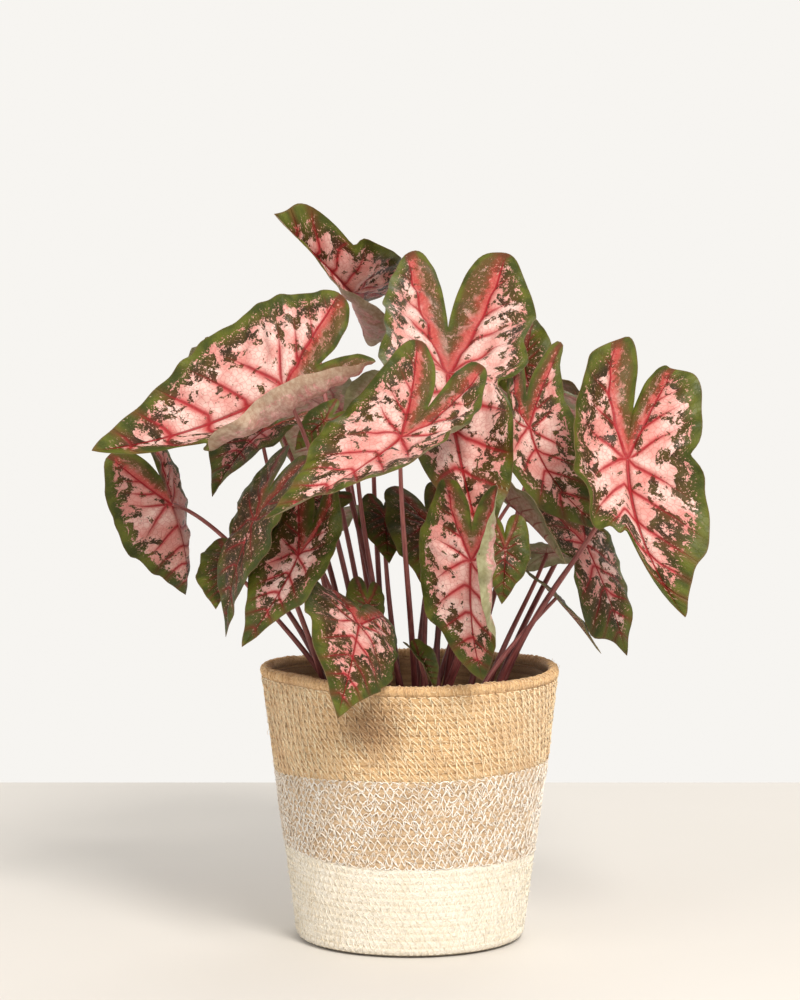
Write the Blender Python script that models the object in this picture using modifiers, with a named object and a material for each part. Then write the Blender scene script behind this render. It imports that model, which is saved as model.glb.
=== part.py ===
"""Potted caladium: leaves on their stems, soil, nursery pot and a jute basket in three bands.

Sizes are millimetres and angles are degrees. They become metres where vertices are made.
The origin is the middle of the basket's underside, +Z is up and -Y is the front.
"""
import math
from collections import namedtuple

import bmesh
import bpy
import numpy as np

MM = 0.001
GAP = 0.3

# Basket
BASKET_HEIGHT = 174.0
FOOT_RADIUS = 72.0
RIM_RADIUS = 95.0
FOOT_ROUNDING = 5.0
BASKET_WALL = 6.0
BASKET_FLOOR = 6.0
CREAM_TOP = 57.0
STITCHED_TOP = 113.0
COIL_PITCH = 9.4
COIL_DEPTH = 1.0
RIM_ROLL = 1.2
DENT_DEPTH = 8.0
DENT_ANGLE = 211.0
DENT_SPREAD = 20.0
BASKET_SEGMENTS = 24

# Nursery pot
POT_HEIGHT = 134.0
POT_FOOT_RADIUS = 52.0
POT_TOP_RADIUS = 74.0
POT_WALL = 1.2
POT_LIP = 3.0
POT_SEGMENTS = 24
DRAIN_HOLES = 5
DRAIN_RADIUS = 5.0
DRAIN_CIRCLE = 34.0

# Soil
SOIL_TOP = 132.0
SOIL_CROWN = 4.0
SOIL_SEGMENTS = 24
STEM_HOLE_DEPTH = 14.0
STEM_HOLE_GAP = 0.4

# Leaves
BLADE_THICKNESS = 0.8
MIDRIB_STEPS = 80
HALF_WIDTH = 0.46
STEM_TOP_RADIUS = 1.15
STEM_SEGMENTS = 6
STEM_SIDES = 6
STEM_ABOVE_BLADE = 1.3
WAVES = 5

# Reach of a blade from the top of its stem, as a share of the midrib, at an angle from the tip
OUTLINE = (
    (0, 1.00), (6, 0.86), (15, 0.72), (30, 0.60), (50, 0.52), (75, 0.47), (100, 0.46),
    (125, 0.52), (145, 0.63), (158, 0.70), (168, 0.66), (175, 0.50), (180, 0.30),
)
HALF_ANGLES = (0, 7, 18, 35, 58, 82, 106, 128, 146, 158, 168, 175, 180)
RINGS = (0.38, 0.74, 1.0)

# attach is where the stem meets the blade, and faces is where the upper side looks.
# fold and curl are for the left and right half, with the tip held down, and sweep bends the
# midrib to the right. dents are (angle, depth, spread) in the outline, where a minus is a bulge.
# root is where the stem stands in the soil, and bow moves the middle of the stem.
Leaf = namedtuple(
    "Leaf",
    "name attach tip faces root width lobes sweep fold curl droop lobe_droop twist wave dents bow stem",
    defaults=(1.0, 1.0, 0, (8, 8), (-15, -15), 30, 15, 0, 2.0, (), (0, 0), 2.2),
)

LEAVES = (
    Leaf("leaf_01_top_curled", (-38, 79, 409), (-86, 7, 461), (0.05, -1, 0.05), (-16, 1),
         width=0.86, fold=(18, 56), curl=(0, 170), droop=58, lobe_droop=14, twist=17,
         dents=((-13, -0.3, 8), (-28, 0.14, 5)), bow=(16, -20)),
    Leaf("leaf_02_broad_left", (-77, -95, 355), (-195, -75, 316), (0, -0.9, 0.42), (-25, -17),
         width=1.0, lobes=0.68, sweep=-24, fold=(0, 20), curl=(-6, 155), droop=-10, lobe_droop=20,
         dents=((14, 0.34, 9), (30, 0.15, 12), (-38, 0.05, 14))),
    Leaf("leaf_03_tall_centre", (24, -19, 361), (46, -103, 252), (0, -1, 0), (12, 11),
         width=0.96, lobes=1.24, sweep=8, fold=(45, 5), curl=(10, 0), droop=60, lobe_droop=-18,
         dents=((53, 0.44, 20), (95, 0.2, 30), (-100, 0.24, 45)), bow=(6, 3)),
    Leaf("leaf_04_front_centre", (-6, -125, 327), (-86, -183, 284), (-0.34, -0.78, 0.53), (4, -27),
         width=0.86, lobes=1.14, sweep=-30, fold=(6, 16), curl=(-10, 50), droop=12, lobe_droop=-10,
         twist=15, bow=(0, 3)),
    Leaf("leaf_05_centre_right", (75, -24, 327), (124, -14, 260), (0.5, -0.82, 0.25), (21, -18),
         width=1.02, lobes=0.95, sweep=60, fold=(14, 6), curl=(5, -10), droop=5, lobe_droop=0,
         twist=20, dents=((-127, 0.6, 17), (-22, -0.28, 16), (160, -0.2, 14)), bow=(-20, 6)),
    Leaf("leaf_06_broad_right", (133, -74, 311), (166, -108, 217), (-0.1, -1, 0), (48, -14),
         width=0.98, lobes=1.15, sweep=34, fold=(30, 0), curl=(75, 0), droop=30, lobe_droop=0,
         dents=((160, 0.25, 17), (88, 0.13, 9), (36, -0.17, 23), (-10, 0.35, 6), (-22, 0.28, 10),
                (-58, 0.22, 16))),
    Leaf("leaf_07_lower_right", (113, 14, 250), (139, -4, 181), (0.65, -0.75, 0.1), (52, 2),
         sweep=-5, fold=(0, -10), curl=(0, -30), droop=10, dents=((-75, 0.5, 30), (-24, -0.34, 12))),
    Leaf("leaf_08_far_left", (-150, -13, 278), (-145, 38, 215), (0.06, -1, 0.07), (-48, -8),
         width=1.05, lobes=0.85, sweep=-22, fold=(5, -76), curl=(0, -10), droop=35, bow=(12, 11)),
    Leaf("leaf_09_inner_left", (-94, -3, 323), (-123, -43, 285), (-0.45, -0.8, 0.35), (-26, -1),
         fold=(12, 16), curl=(-8, -4), droop=35, twist=10, bow=(-7, -8)),
    Leaf("leaf_10_front_low", (36, -125, 253), (44, -99, 177), (-0.56, -0.82, 0.1), (14, -46),
         lobes=0.88, fold=(9, 0), curl=(-24, 155), droop=30, lobe_droop=0, twist=-6, bow=(5, 0)),
    Leaf("leaf_11_lower_left", (-68, -92, 253), (-102, -107, 199), (-0.62, -0.76, 0.2), (-23, -31),
         lobes=1.15, sweep=-22, fold=(10, 14), curl=(-14, -8), droop=8, lobe_droop=-3, twist=-7,
         bow=(-14, 5)),
    Leaf("leaf_12_narrow_left", (-96, -73, 273), (-114, -65, 200), (-0.9, -0.45, 0.15), (-44, -34),
         fold=(0, 8), droop=25, bow=(-8, -4)),
    Leaf("leaf_13_round_left", (-113, -18, 241), (-120, -58, 216), (-0.4, -0.9, 0.05), (-40, -12),
         lobes=0.85, fold=(17, 17), curl=(0, -12), droop=0, lobe_droop=-12),
    Leaf("leaf_14_over_rim", (-31, -102, 212), (-43, -166, 164), (0.14, -1, 0.06), (-12, -45),
         fold=(4, -17), curl=(15, -45), droop=28, lobe_droop=28, twist=-12, bow=(6, -2)),
    Leaf("leaf_15_small_green", (-27, -49, 217), (-30, -59, 188), (0.2, -1, 0.05), (-7, -17),
         fold=(5, -10), curl=(-15, -35), droop=25, lobe_droop=10, bow=(11, -4)),
    Leaf("leaf_16_dark_centre", (13, -35, 267), (14, -79, 225), (0.1, -1, 0.12), (8, -16),
         sweep=-15, fold=(2, 5), curl=(-12, -10), droop=14, lobe_droop=5, bow=(0, 5)),
    Leaf("leaf_17_dark_behind", (-16, -16, 271), (-13, -40, 243), (0, -1, 0.15), (-4, 2), bow=(-4, -3)),
    Leaf("leaf_18_folded_right", (62, -44, 281), (96, -73, 246), (0.8, 0, 0.6), (21, -2),
         fold=(30, 15), curl=(-20, -40), droop=10, bow=(-3, 1)),
    Leaf("leaf_19_back_low_left", (-69, 72, 255), (-97, 115, 205), (-0.5, 0.8, 0.3), (-28, 34),
         bow=(3, 6)),
    Leaf("leaf_20_purple_below", (89, 43, 242), (113, 19, 240), (0.2, 0.65, 0.7), (45, 13),
         fold=(-5, 12), curl=(-25, -10), droop=40, lobe_droop=30),
    Leaf("leaf_21_edge_on", (93, -6, 218), (121, -13, 183), (0.8, 0, 0.6), (36, -20), droop=10,
         bow=(-2, 3)),
    Leaf("leaf_22_young", (6, -67, 186), (15, -75, 168), (0.6, -0.7, 0.2), (8, -53), fold=(50, 50),
         bow=(7, -1)),
    Leaf("leaf_23_behind_right", (73, 34, 366), (81, 10, 328), (0, -1, 0.1), (20, 26),
         lobes=1.05, droop=5, lobe_droop=-15, bow=(3, -15)),
    Leaf("leaf_24_pale_behind", (-22, 45, 345), (-45, 60, 320), (0, 0.85, 0.5), (-16, 22)),
    Leaf("leaf_25_dark_inner", (-54, -22, 331), (-72, -26, 313), (0, -0.8, 0.5), (-23, 6), bow=(2, -3)),
    Leaf("leaf_26_green_inner", (-33, -37, 318), (-61, -43, 308), (-0.2, -0.8, 0.5), (-13, -12),
         bow=(2, -21)),
    Leaf("leaf_27_behind_tip", (-61, -30, 284), (-93, -33, 268), (-0.3, -0.8, 0.4), (-33, -32),
         bow=(-5, 0)),
    Leaf("leaf_28_green_low", (58, -81, 256), (56, -81, 222), (0.2, -1, 0), (15, -38), bow=(6, -4)),
    Leaf("leaf_29_back_left", (-105, 57, 371), (-140, 107, 321), (-0.4, 0.8, 0.45), (-40, 18),
         bow=(15, -16)),
    Leaf("leaf_30_back_broad", (-46, 115, 331), (-66, 180, 263), (-0.2, 0.75, 0.6), (-18, 38),
         bow=(-1, 9)),
    Leaf("leaf_31_back_tall", (32, 117, 371), (41, 181, 318), (0.1, 0.7, 0.7), (3, 46), bow=(1, -2)),
    Leaf("leaf_32_back_right", (89, 115, 332), (114, 170, 270), (0.4, 0.75, 0.5), (36, 40), bow=(6, -2)),
    Leaf("leaf_33_right_side", (138, 74, 325), (183, 109, 268), (0.7, 0.5, 0.5), (49, 20),
         bow=(11, 24)),
    Leaf("leaf_34_back_low", (37, 105, 244), (43, 135, 204), (0, 0.9, 0.3), (12, 28), bow=(7, -7)),
)

COLOURS = {
    "leaf": ((0.42, 0.16, 0.14, 1), 0.45),
    "basket_band_cream": ((0.80, 0.72, 0.58, 1), 0.9),
    "basket_band_stitched": ((0.62, 0.48, 0.34, 1), 0.9),
    "basket_band_natural": ((0.55, 0.37, 0.20, 1), 0.9),
    "nursery_pot": ((0.03, 0.03, 0.03, 1), 0.5),
    "soil": ((0.06, 0.04, 0.03, 1), 1.0),
}


def smooth_curve(knots, x):
    """Height at x of a smooth curve through the knots."""
    xs, ys = np.array(knots, float).T
    slopes = np.gradient(ys, xs)
    i = np.clip(np.searchsorted(xs, x, side="right") - 1, 0, len(xs) - 2)
    step = xs[i + 1] - xs[i]
    t = (x - xs[i]) / step
    start = (1 + 2 * t) * (1 - t) ** 2 * ys[i] + t * (1 - t) ** 2 * step * slopes[i]
    end = t * t * (3 - 2 * t) * ys[i + 1] + t * t * (t - 1) * step * slopes[i + 1]
    return start + end


def walked(distances, headings):
    """Forward and upward travel along a line that heads up by the given angles."""
    steps = np.diff(distances, prepend=distances[0])
    middles = (headings + np.roll(headings, 1)) / 2
    forward = np.cumsum(steps * np.cos(middles))
    upward = np.cumsum(steps * np.sin(middles))
    return forward, upward


def section(leaf, across):
    """Sideways and upward place of points of the blade, by their distance from the midrib."""
    distances = np.linspace(0, 0.8, MIDRIB_STEPS)
    sideways = np.zeros_like(across)
    upward = np.zeros_like(across)
    for side, fold, curl in ((-1, leaf.fold[0], leaf.curl[0]), (1, leaf.fold[1], leaf.curl[1])):
        headings = np.radians(fold + curl * (distances / HALF_WIDTH) ** 2)
        run, rise = walked(distances, headings)
        half = across * side > 0
        sideways[half] = side * np.interp(np.abs(across[half]), distances, run)
        upward[half] = np.interp(np.abs(across[half]), distances, rise)
    return sideways, upward


def midrib(leaf):
    """Forward and upward travel of the midrib, and its heading, from the lobes to the tip."""
    ahead = np.linspace(0, 1.1, MIDRIB_STEPS)
    behind = np.linspace(0, -1.1, MIDRIB_STEPS)
    ahead_heading = -np.radians(leaf.droop * ahead)
    behind_heading = -np.radians(leaf.lobe_droop * behind / 0.65)
    run_ahead, rise_ahead = walked(ahead, ahead_heading)
    run_behind, rise_behind = walked(behind, behind_heading)
    along = np.concatenate((behind[:0:-1], ahead))
    run = np.concatenate((run_behind[:0:-1], run_ahead))
    rise = np.concatenate((rise_behind[:0:-1], rise_ahead))
    heading = np.concatenate((behind_heading[:0:-1], ahead_heading))
    return along, run, rise, heading


def blade_local(leaf, angles, shares):
    """Right, forward and up of blade points, with the midrib one long and the stem at zero."""
    turn = np.radians(np.abs(angles))
    reach = smooth_curve(OUTLINE, np.abs(angles)) * shares
    for place, depth, spread in leaf.dents:
        reach = reach * (1 - depth * shares * np.exp(-((angles - place) / spread) ** 2))
    across = np.sign(angles) * reach * np.sin(turn) * leaf.width
    along = reach * np.cos(turn)
    along = np.where(along < 0, along * leaf.lobes, along)
    sideways, upward = section(leaf, across)
    upward = upward + leaf.wave * 0.01 * shares ** 2 * np.sin(WAVES * np.radians(angles) + leaf.attach[0])
    roll = np.radians(leaf.twist) * along
    rolled = sideways * np.cos(roll) - upward * np.sin(roll) + math.radians(leaf.sweep) / 2 * along ** 2
    raised = sideways * np.sin(roll) + upward * np.cos(roll)
    stations, run, rise, heading = midrib(leaf)
    head = np.interp(along, stations, heading)
    forward = np.interp(along, stations, run) - raised * np.sin(head)
    up = np.interp(along, stations, rise) + raised * np.cos(head)
    return rolled, forward, up


def blade_frame(leaf):
    """World directions of the blade's right, forward and up, and its size, from its two places."""
    tip = np.array([float(v[0]) for v in blade_local(leaf, np.array([0.0]), np.array([1.0]))])
    chord = np.array(leaf.tip, float) - np.array(leaf.attach, float)
    size = np.linalg.norm(chord) / np.linalg.norm(tip)
    tip /= np.linalg.norm(tip)
    above = np.array((0, 0, 1)) - tip[2] * tip
    above /= np.linalg.norm(above)
    chord /= np.linalg.norm(chord)
    facing = np.array(leaf.faces, float)
    facing -= facing.dot(chord) * chord
    facing /= np.linalg.norm(facing)
    local = np.stack((np.cross(tip, above), tip, above))
    world = np.stack((np.cross(facing, chord), chord, facing))
    return local.T @ world, size


def blade_points(leaf, angles, shares):
    """Places of blade points in millimetres."""
    axes, size = blade_frame(leaf)
    local = np.stack(blade_local(leaf, angles, shares), -1)
    return np.array(leaf.attach, float) + size * local @ axes


def stem_points(leaf, count):
    """Points up a stem, from its foot in the soil to just above the blade."""
    axes, size = blade_frame(leaf)
    up = axes[2]
    attach = np.array(leaf.attach, float)
    foot = np.array((leaf.root[0], leaf.root[1], soil_height(*leaf.root) - STEM_HOLE_DEPTH + GAP))
    ground = foot + (0, 0, STEM_HOLE_DEPTH + 2)
    rise = attach[2] - ground[2]
    lean = (attach - ground) * (1, 1, 0)
    out = attach - ground
    arrival = up * 0.8 + out / np.linalg.norm(out) * 0.6
    arrival /= np.linalg.norm(arrival)
    bow = np.array((*leaf.bow, 0.0))
    low = ground + (0, 0, rise * 0.35) + lean * 0.12 + bow
    high = attach - arrival * (0.28 * np.linalg.norm(out)) + bow
    end = attach + up * STEM_ABOVE_BLADE
    t = np.linspace(0, 1, count)[:, None]
    t = 1 - (1 - t) ** 1.25
    curve = (1 - t) ** 3 * ground + 3 * (1 - t) ** 2 * t * low + 3 * (1 - t) * t * t * high + t ** 3 * end
    return np.concatenate((foot[None], curve))


def soil_height(x, y):
    """Height of the crowned soil at a place."""
    share = min(1.0, math.hypot(x, y) / POT_TOP_RADIUS)
    return SOIL_TOP + SOIL_CROWN * (1 - share ** 2)


def clear_scene():
    for obj in list(bpy.data.objects):
        bpy.data.objects.remove(obj, do_unlink=True)


def new_collection(name):
    collection = bpy.data.collections.new(name)
    bpy.context.scene.collection.children.link(collection)
    return collection


def make_material(name, colour, roughness):
    material = bpy.data.materials.new(name)
    material.use_nodes = True
    shader = material.node_tree.nodes["Principled BSDF"]
    shader.inputs["Base Color"].default_value = colour
    shader.inputs["Roughness"].default_value = roughness
    shader.inputs["Metallic"].default_value = 0.0
    return material


def new_object(name, mesh, collection):
    obj = bpy.data.objects.new(name, mesh)
    collection.objects.link(obj)
    return obj


def settle(obj, collection):
    """Replace an object by a plain mesh of what its modifiers or its curve make."""
    graph = bpy.context.evaluated_depsgraph_get()
    mesh = bpy.data.meshes.new_from_object(obj.evaluated_get(graph))
    name = obj.name
    bpy.data.objects.remove(obj, do_unlink=True)
    mesh.name = name
    return new_object(name, mesh, collection)


def weld(mesh, distance=0.00001):
    shape = bmesh.new()
    shape.from_mesh(mesh)
    bmesh.ops.remove_doubles(shape, verts=shape.verts, dist=distance)
    shape.to_mesh(mesh)
    shape.free()


def turn_profile(name, profile, closed, segments, collection):
    """Turn a profile of (radius, height) about Z. Its outer side runs from the top down."""
    points = [(r * MM, 0, z * MM) for r, z in profile]
    edges = [(i, i + 1) for i in range(len(points) - 1)]
    if closed:
        edges.append((len(points) - 1, 0))
    mesh = bpy.data.meshes.new(name)
    mesh.from_pydata(points, edges, [])
    obj = new_object(name, mesh, collection)
    screw = obj.modifiers.new("turn", "SCREW")
    screw.steps = segments
    screw.render_steps = segments
    screw.use_merge_vertices = True
    screw.merge_threshold = 0.0001
    return settle(obj, collection)


def basket_radius(z):
    """Outer radius of the basket's wall at a height, without its coils."""
    radius = FOOT_RADIUS + (RIM_RADIUS - FOOT_RADIUS) * z / BASKET_HEIGHT
    if z < FOOT_ROUNDING:
        below = FOOT_ROUNDING - z
        radius -= FOOT_ROUNDING - math.sqrt(FOOT_ROUNDING ** 2 - below ** 2)
    return radius


def coil_side(bottom, top):
    """Outer side of a band, from its top down, as coils that stand out from the wall."""
    coils = max(1, round((top - bottom) / COIL_PITCH))
    pitch = (top - bottom) / coils
    side = []
    for i in range(coils):
        upper = top - i * pitch
        side.append((basket_radius(upper) - COIL_DEPTH, upper))
        side.append((basket_radius(upper - pitch / 2), upper - pitch / 2))
    return side


def soften_basket(obj):
    """Press the soft rim in at the front left, more the higher up."""
    for vertex in obj.data.vertices:
        x, y, z = (c / MM for c in vertex.co)
        radius = math.hypot(x, y)
        if radius < 1:
            continue
        turned = (math.degrees(math.atan2(y, x)) - DENT_ANGLE + 180) % 360 - 180
        press = DENT_DEPTH * math.exp(-(turned / DENT_SPREAD) ** 2) * (z / BASKET_HEIGHT) ** 3
        vertex.co.x *= 1 - press / radius
        vertex.co.y *= 1 - press / radius


def make_basket(collection):
    cream_side = [p for p in coil_side(0, CREAM_TOP) if p[1] > FOOT_ROUNDING]
    cream = [(0, BASKET_FLOOR), (basket_radius(BASKET_FLOOR) - BASKET_WALL - 3, BASKET_FLOOR)]
    cream.append((basket_radius(BASKET_FLOOR + 5) - BASKET_WALL, BASKET_FLOOR + 5))
    cream.append((basket_radius(CREAM_TOP) - BASKET_WALL, CREAM_TOP))
    cream += cream_side
    cream += [(basket_radius(FOOT_ROUNDING * 0.4), FOOT_ROUNDING * 0.4), (basket_radius(0), 0), (0, 0)]
    turn_profile("basket_band_cream", cream, False, BASKET_SEGMENTS, collection)

    bottom = CREAM_TOP + GAP
    stitched = coil_side(bottom, STITCHED_TOP)
    stitched.append((basket_radius(bottom) - COIL_DEPTH, bottom))
    stitched.append((basket_radius(bottom) - BASKET_WALL, bottom))
    stitched.append((basket_radius(STITCHED_TOP) - BASKET_WALL, STITCHED_TOP))
    turn_profile("basket_band_stitched", stitched, True, BASKET_SEGMENTS, collection)

    bottom = STITCHED_TOP + GAP
    top = BASKET_HEIGHT - 7
    natural = [
        (RIM_RADIUS - BASKET_WALL + 0.8, BASKET_HEIGHT - 0.8),
        (RIM_RADIUS - BASKET_WALL / 2, BASKET_HEIGHT),
        (RIM_RADIUS + RIM_ROLL - 0.8, BASKET_HEIGHT - 1),
        (RIM_RADIUS + RIM_ROLL, BASKET_HEIGHT - 3.5),
    ]
    natural += coil_side(bottom, top)
    natural.append((basket_radius(bottom) - COIL_DEPTH, bottom))
    natural.append((basket_radius(bottom) - BASKET_WALL, bottom))
    natural.append((basket_radius(top) - BASKET_WALL, top))
    turn_profile("basket_band_natural", natural, True, BASKET_SEGMENTS, collection)
    for name in ("basket_band_cream", "basket_band_stitched", "basket_band_natural"):
        soften_basket(bpy.data.objects[name])


def cut(obj, cutters, collection):
    """Cut the joined cutters out of an object."""
    modifier = obj.modifiers.new("cut", "BOOLEAN")
    modifier.operation = "DIFFERENCE"
    modifier.operand_type = "COLLECTION"
    modifier.collection = cutters
    result = settle(obj, collection)
    weld(result.data)
    return result


def add_cutter(name, x, y, bottom, top, radius, sides, cutters):
    mesh = bpy.data.meshes.new(name)
    shape = bmesh.new()
    bmesh.ops.create_cone(
        shape, cap_ends=True, segments=sides, radius1=radius * MM, radius2=radius * MM,
        depth=(top - bottom) * MM,
    )
    shape.to_mesh(mesh)
    shape.free()
    cutter = new_object(name, mesh, cutters)
    cutter.location = (x * MM, y * MM, (bottom + top) / 2 * MM)
    cutter.hide_render = True
    cutter.display_type = "WIRE"
    return cutter


def make_pot(collection, cutters):
    base = BASKET_FLOOR + GAP
    top = base + POT_HEIGHT
    inner = POT_TOP_RADIUS - POT_WALL
    pot = [
        (0, base + POT_WALL),
        (POT_FOOT_RADIUS - POT_WALL, base + POT_WALL),
        (inner, top),
        (POT_TOP_RADIUS + POT_LIP, top),
        (POT_TOP_RADIUS + POT_LIP, top - 6),
        (POT_TOP_RADIUS - 1, top - 6),
        (POT_FOOT_RADIUS, base),
        (0, base),
    ]
    obj = turn_profile("nursery_pot", pot, False, POT_SEGMENTS, collection)
    for i in range(DRAIN_HOLES):
        turn = 2 * math.pi * i / DRAIN_HOLES
        x = DRAIN_CIRCLE * math.cos(turn)
        y = DRAIN_CIRCLE * math.sin(turn)
        add_cutter(f"drain_cutter_{i + 1}", x, y, base - 4, base + 5, DRAIN_RADIUS, 8, cutters)
    cut(obj, cutters, collection)


def pot_inner_radius(z):
    base = BASKET_FLOOR + GAP
    share = (z - base - POT_WALL) / (POT_HEIGHT - POT_WALL)
    foot = POT_FOOT_RADIUS - POT_WALL
    return foot + (POT_TOP_RADIUS - POT_WALL - foot) * share


def make_soil(collection, cutters):
    bottom = BASKET_FLOOR + GAP + POT_WALL + GAP
    top_radius = pot_inner_radius(SOIL_TOP) - GAP * 2
    soil = [(0, soil_height(0, 0))]
    for share in (0.36, 0.7):
        soil.append((top_radius * share, soil_height(top_radius * share, 0)))
    soil.append((top_radius, soil_height(top_radius, 0)))
    soil.append((pot_inner_radius(bottom) - GAP * 2, bottom))
    soil.append((0, bottom))
    obj = turn_profile("soil", soil, False, SOIL_SEGMENTS, collection)
    for leaf in LEAVES:
        x, y = leaf.root
        floor = soil_height(x, y) - STEM_HOLE_DEPTH
        radius = (leaf.stem + STEM_HOLE_GAP) / math.cos(math.pi / STEM_SIDES)
        add_cutter("stem_cutter_" + leaf.name[5:7], x, y, floor, SOIL_TOP + 30, radius, STEM_SIDES, cutters)
    cut(obj, cutters, collection)


def blade_sheet(leaf):
    """Triangles of a blade's upper side, fanned out from the top of the stem."""
    round_angles = list(HALF_ANGLES) + [-a for a in HALF_ANGLES[-2:0:-1]]
    count = len(round_angles)
    angles = [0.0]
    shares = [0.0]
    rings = []
    for share in RINGS:
        step = 2 if share == RINGS[0] else 1
        rings.append(list(range(len(angles), len(angles) + count // step)))
        angles += round_angles[::step]
        shares += [share] * (count // step)
    inner, middle, outer = rings
    faces = []
    half = count // 2
    for i in range(half):
        j = (i + 1) % half
        a, b, c = middle[2 * i], middle[2 * i + 1], middle[(2 * i + 2) % count]
        faces.append((0, inner[i], inner[j]))
        faces.append((inner[i], a, b))
        faces.append((inner[i], b, inner[j]))
        faces.append((inner[j], b, c))
    for i in range(count):
        j = (i + 1) % count
        faces.append((middle[i], outer[i], outer[j]))
        faces.append((middle[i], outer[j], middle[j]))
    points = blade_points(leaf, np.array(angles, float), np.array(shares, float)) * MM
    return points.tolist(), faces


def make_stem(leaf, collection):
    """A stem as a tapered tube, made a closed mesh."""
    curve = bpy.data.curves.new(leaf.name + "_stem", "CURVE")
    curve.dimensions = "3D"
    curve.bevel_depth = leaf.stem * MM
    curve.bevel_resolution = 1
    curve.use_fill_caps = True
    points = stem_points(leaf, STEM_SEGMENTS)
    spline = curve.splines.new("POLY")
    spline.points.add(len(points) - 1)
    for i, point in enumerate(points):
        share = max(0, i - 1) / (len(points) - 2)
        spline.points[i].co = (*(point * MM), 1)
        spline.points[i].radius = 1 + (STEM_TOP_RADIUS / leaf.stem - 1) * share
    obj = settle(new_object(leaf.name + "_stem", curve, collection), collection)
    weld(obj.data)
    return obj


def make_leaf(leaf, collection):
    """A blade and its stem, joined as one body."""
    points, faces = blade_sheet(leaf)
    mesh = bpy.data.meshes.new(leaf.name)
    mesh.from_pydata(points, [], faces)
    blade = new_object(leaf.name, mesh, collection)
    thick = blade.modifiers.new("thickness", "SOLIDIFY")
    thick.thickness = BLADE_THICKNESS * MM
    thick.offset = -1
    stem = make_stem(leaf, collection)
    join = blade.modifiers.new("join", "BOOLEAN")
    join.operation = "UNION"
    join.object = stem
    blade = settle(blade, collection)
    bpy.data.objects.remove(stem, do_unlink=True)
    weld(blade.data)
    return blade


def colour_parts(collection):
    for obj in collection.objects:
        key = "leaf" if obj.name.startswith("leaf") else obj.name
        colour, roughness = COLOURS[key]
        obj.data.materials.clear()
        obj.data.materials.append(make_material(obj.name, colour, roughness))


def main():
    clear_scene()
    parts = new_collection("potted_caladium")
    drain_cutters = new_collection("drain_cutters")
    stem_cutters = new_collection("stem_cutters")
    make_basket(parts)
    make_pot(parts, drain_cutters)
    make_soil(parts, stem_cutters)
    for leaf in LEAVES:
        make_leaf(leaf, parts)
    colour_parts(parts)


main()
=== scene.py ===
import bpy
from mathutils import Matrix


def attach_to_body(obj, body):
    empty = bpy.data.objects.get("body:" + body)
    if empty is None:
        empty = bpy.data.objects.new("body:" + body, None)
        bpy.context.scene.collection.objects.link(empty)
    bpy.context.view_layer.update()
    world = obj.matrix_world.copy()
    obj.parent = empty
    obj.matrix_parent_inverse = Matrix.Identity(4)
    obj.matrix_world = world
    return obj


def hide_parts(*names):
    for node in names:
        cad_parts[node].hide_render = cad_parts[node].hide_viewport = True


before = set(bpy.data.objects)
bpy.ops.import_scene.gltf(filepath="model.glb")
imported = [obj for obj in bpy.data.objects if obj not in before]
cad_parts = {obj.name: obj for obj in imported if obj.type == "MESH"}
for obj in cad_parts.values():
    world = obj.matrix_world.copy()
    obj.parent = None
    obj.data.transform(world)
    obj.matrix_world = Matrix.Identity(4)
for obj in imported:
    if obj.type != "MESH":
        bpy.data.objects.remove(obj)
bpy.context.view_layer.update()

# Looks of the potted caladium: finer leaves, stems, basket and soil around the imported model.
# Sizes are millimetres and angles are degrees, as in the part's source, and metres in the meshes.
import math
from collections import namedtuple
from types import SimpleNamespace

import bpy
import numpy as np

MM = 0.001
RANDOM = np.random.default_rng(7)

# Studio, in metres: a pale table in front of a glowing wall
TABLE_HALVES = (1.6, 0.6)
WALL_GLOW = 0.93
CEILING_GLOW = 0.6
# Each light's name, place, target, size, power and colour
LIGHTS = (
    ("key", (0.75, -2.05, 2.1), (0, 0, 0.25), 0.9, 76, (1.0, 0.96, 0.905)),
    ("fill", (-1.8, -1.6, 1.3), (0, 0, 0.25), 1.6, 9, (1.0, 0.98, 0.96)),
    ("behind", (0.6, 1.8, 1.9), (0, 0, 0.3), 1.4, 14, (1.0, 0.98, 0.95)),
)

# Camera, at the photograph's height and pitch
CAMERA_PLACE = (-0.0063, -2.1, 0.444)
CAMERA_PITCH = 4.47
CAMERA_LENS = 119.4

# Basket, as in the part's source, with finer coils
BASKET_HEIGHT = 174.0
FOOT_RADIUS = 72.0
RIM_RADIUS = 95.0
FOOT_ROUNDING = 5.0
BASKET_WALL = 6.0
BASKET_FLOOR = 6.0
CREAM_TOP = 57.0
STITCHED_TOP = 113.0
RIM_MIDDLE = 91.7
RIM_COIL = 3.3
RIM_HEIGHT = BASKET_HEIGHT - RIM_COIL + 0.4
DENT_DEPTH = 8.0
DENT_ANGLE = 211.0
DENT_SPREAD = 20.0
COIL_RELIEF = 0.6
BASE_RELIEF = 0.8
BASE_PITCH = 6.0
# Points round the basket, and rings of points on the outer and the inner side of each coil
TURNS = 360
OUTER_RINGS, INNER_RINGS = 5, 4
FIBRE_RADIUS = 0.13
# Numbers that tell the yarn's material which side of the wall a point is on
INSIDE_ROW, FLOOR_ROW, UNDER_ROW = 40, 80, 90
# A patch of painted shadow from the front leaf, with some dirt, on the basket below it, in metres
SHADOW_STAIN_PLACE = (-0.024, -0.086, 0.147)
SHADOW_STAIN_SPREAD = 0.03

# Soil
POT_TOP_RADIUS = 74.0
SOIL_TOP = 132.0
SOIL_CROWN = 4.0
SOIL_RADIUS = 71.2
SOIL_FOOT_RADIUS = 50.2
SOIL_BOTTOM = 7.8
SOIL_SINK = 0.6
SOIL_SIDES = 96
SOIL_RINGS = 34
STEM_HOLE_DEPTH = 14.0

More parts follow.
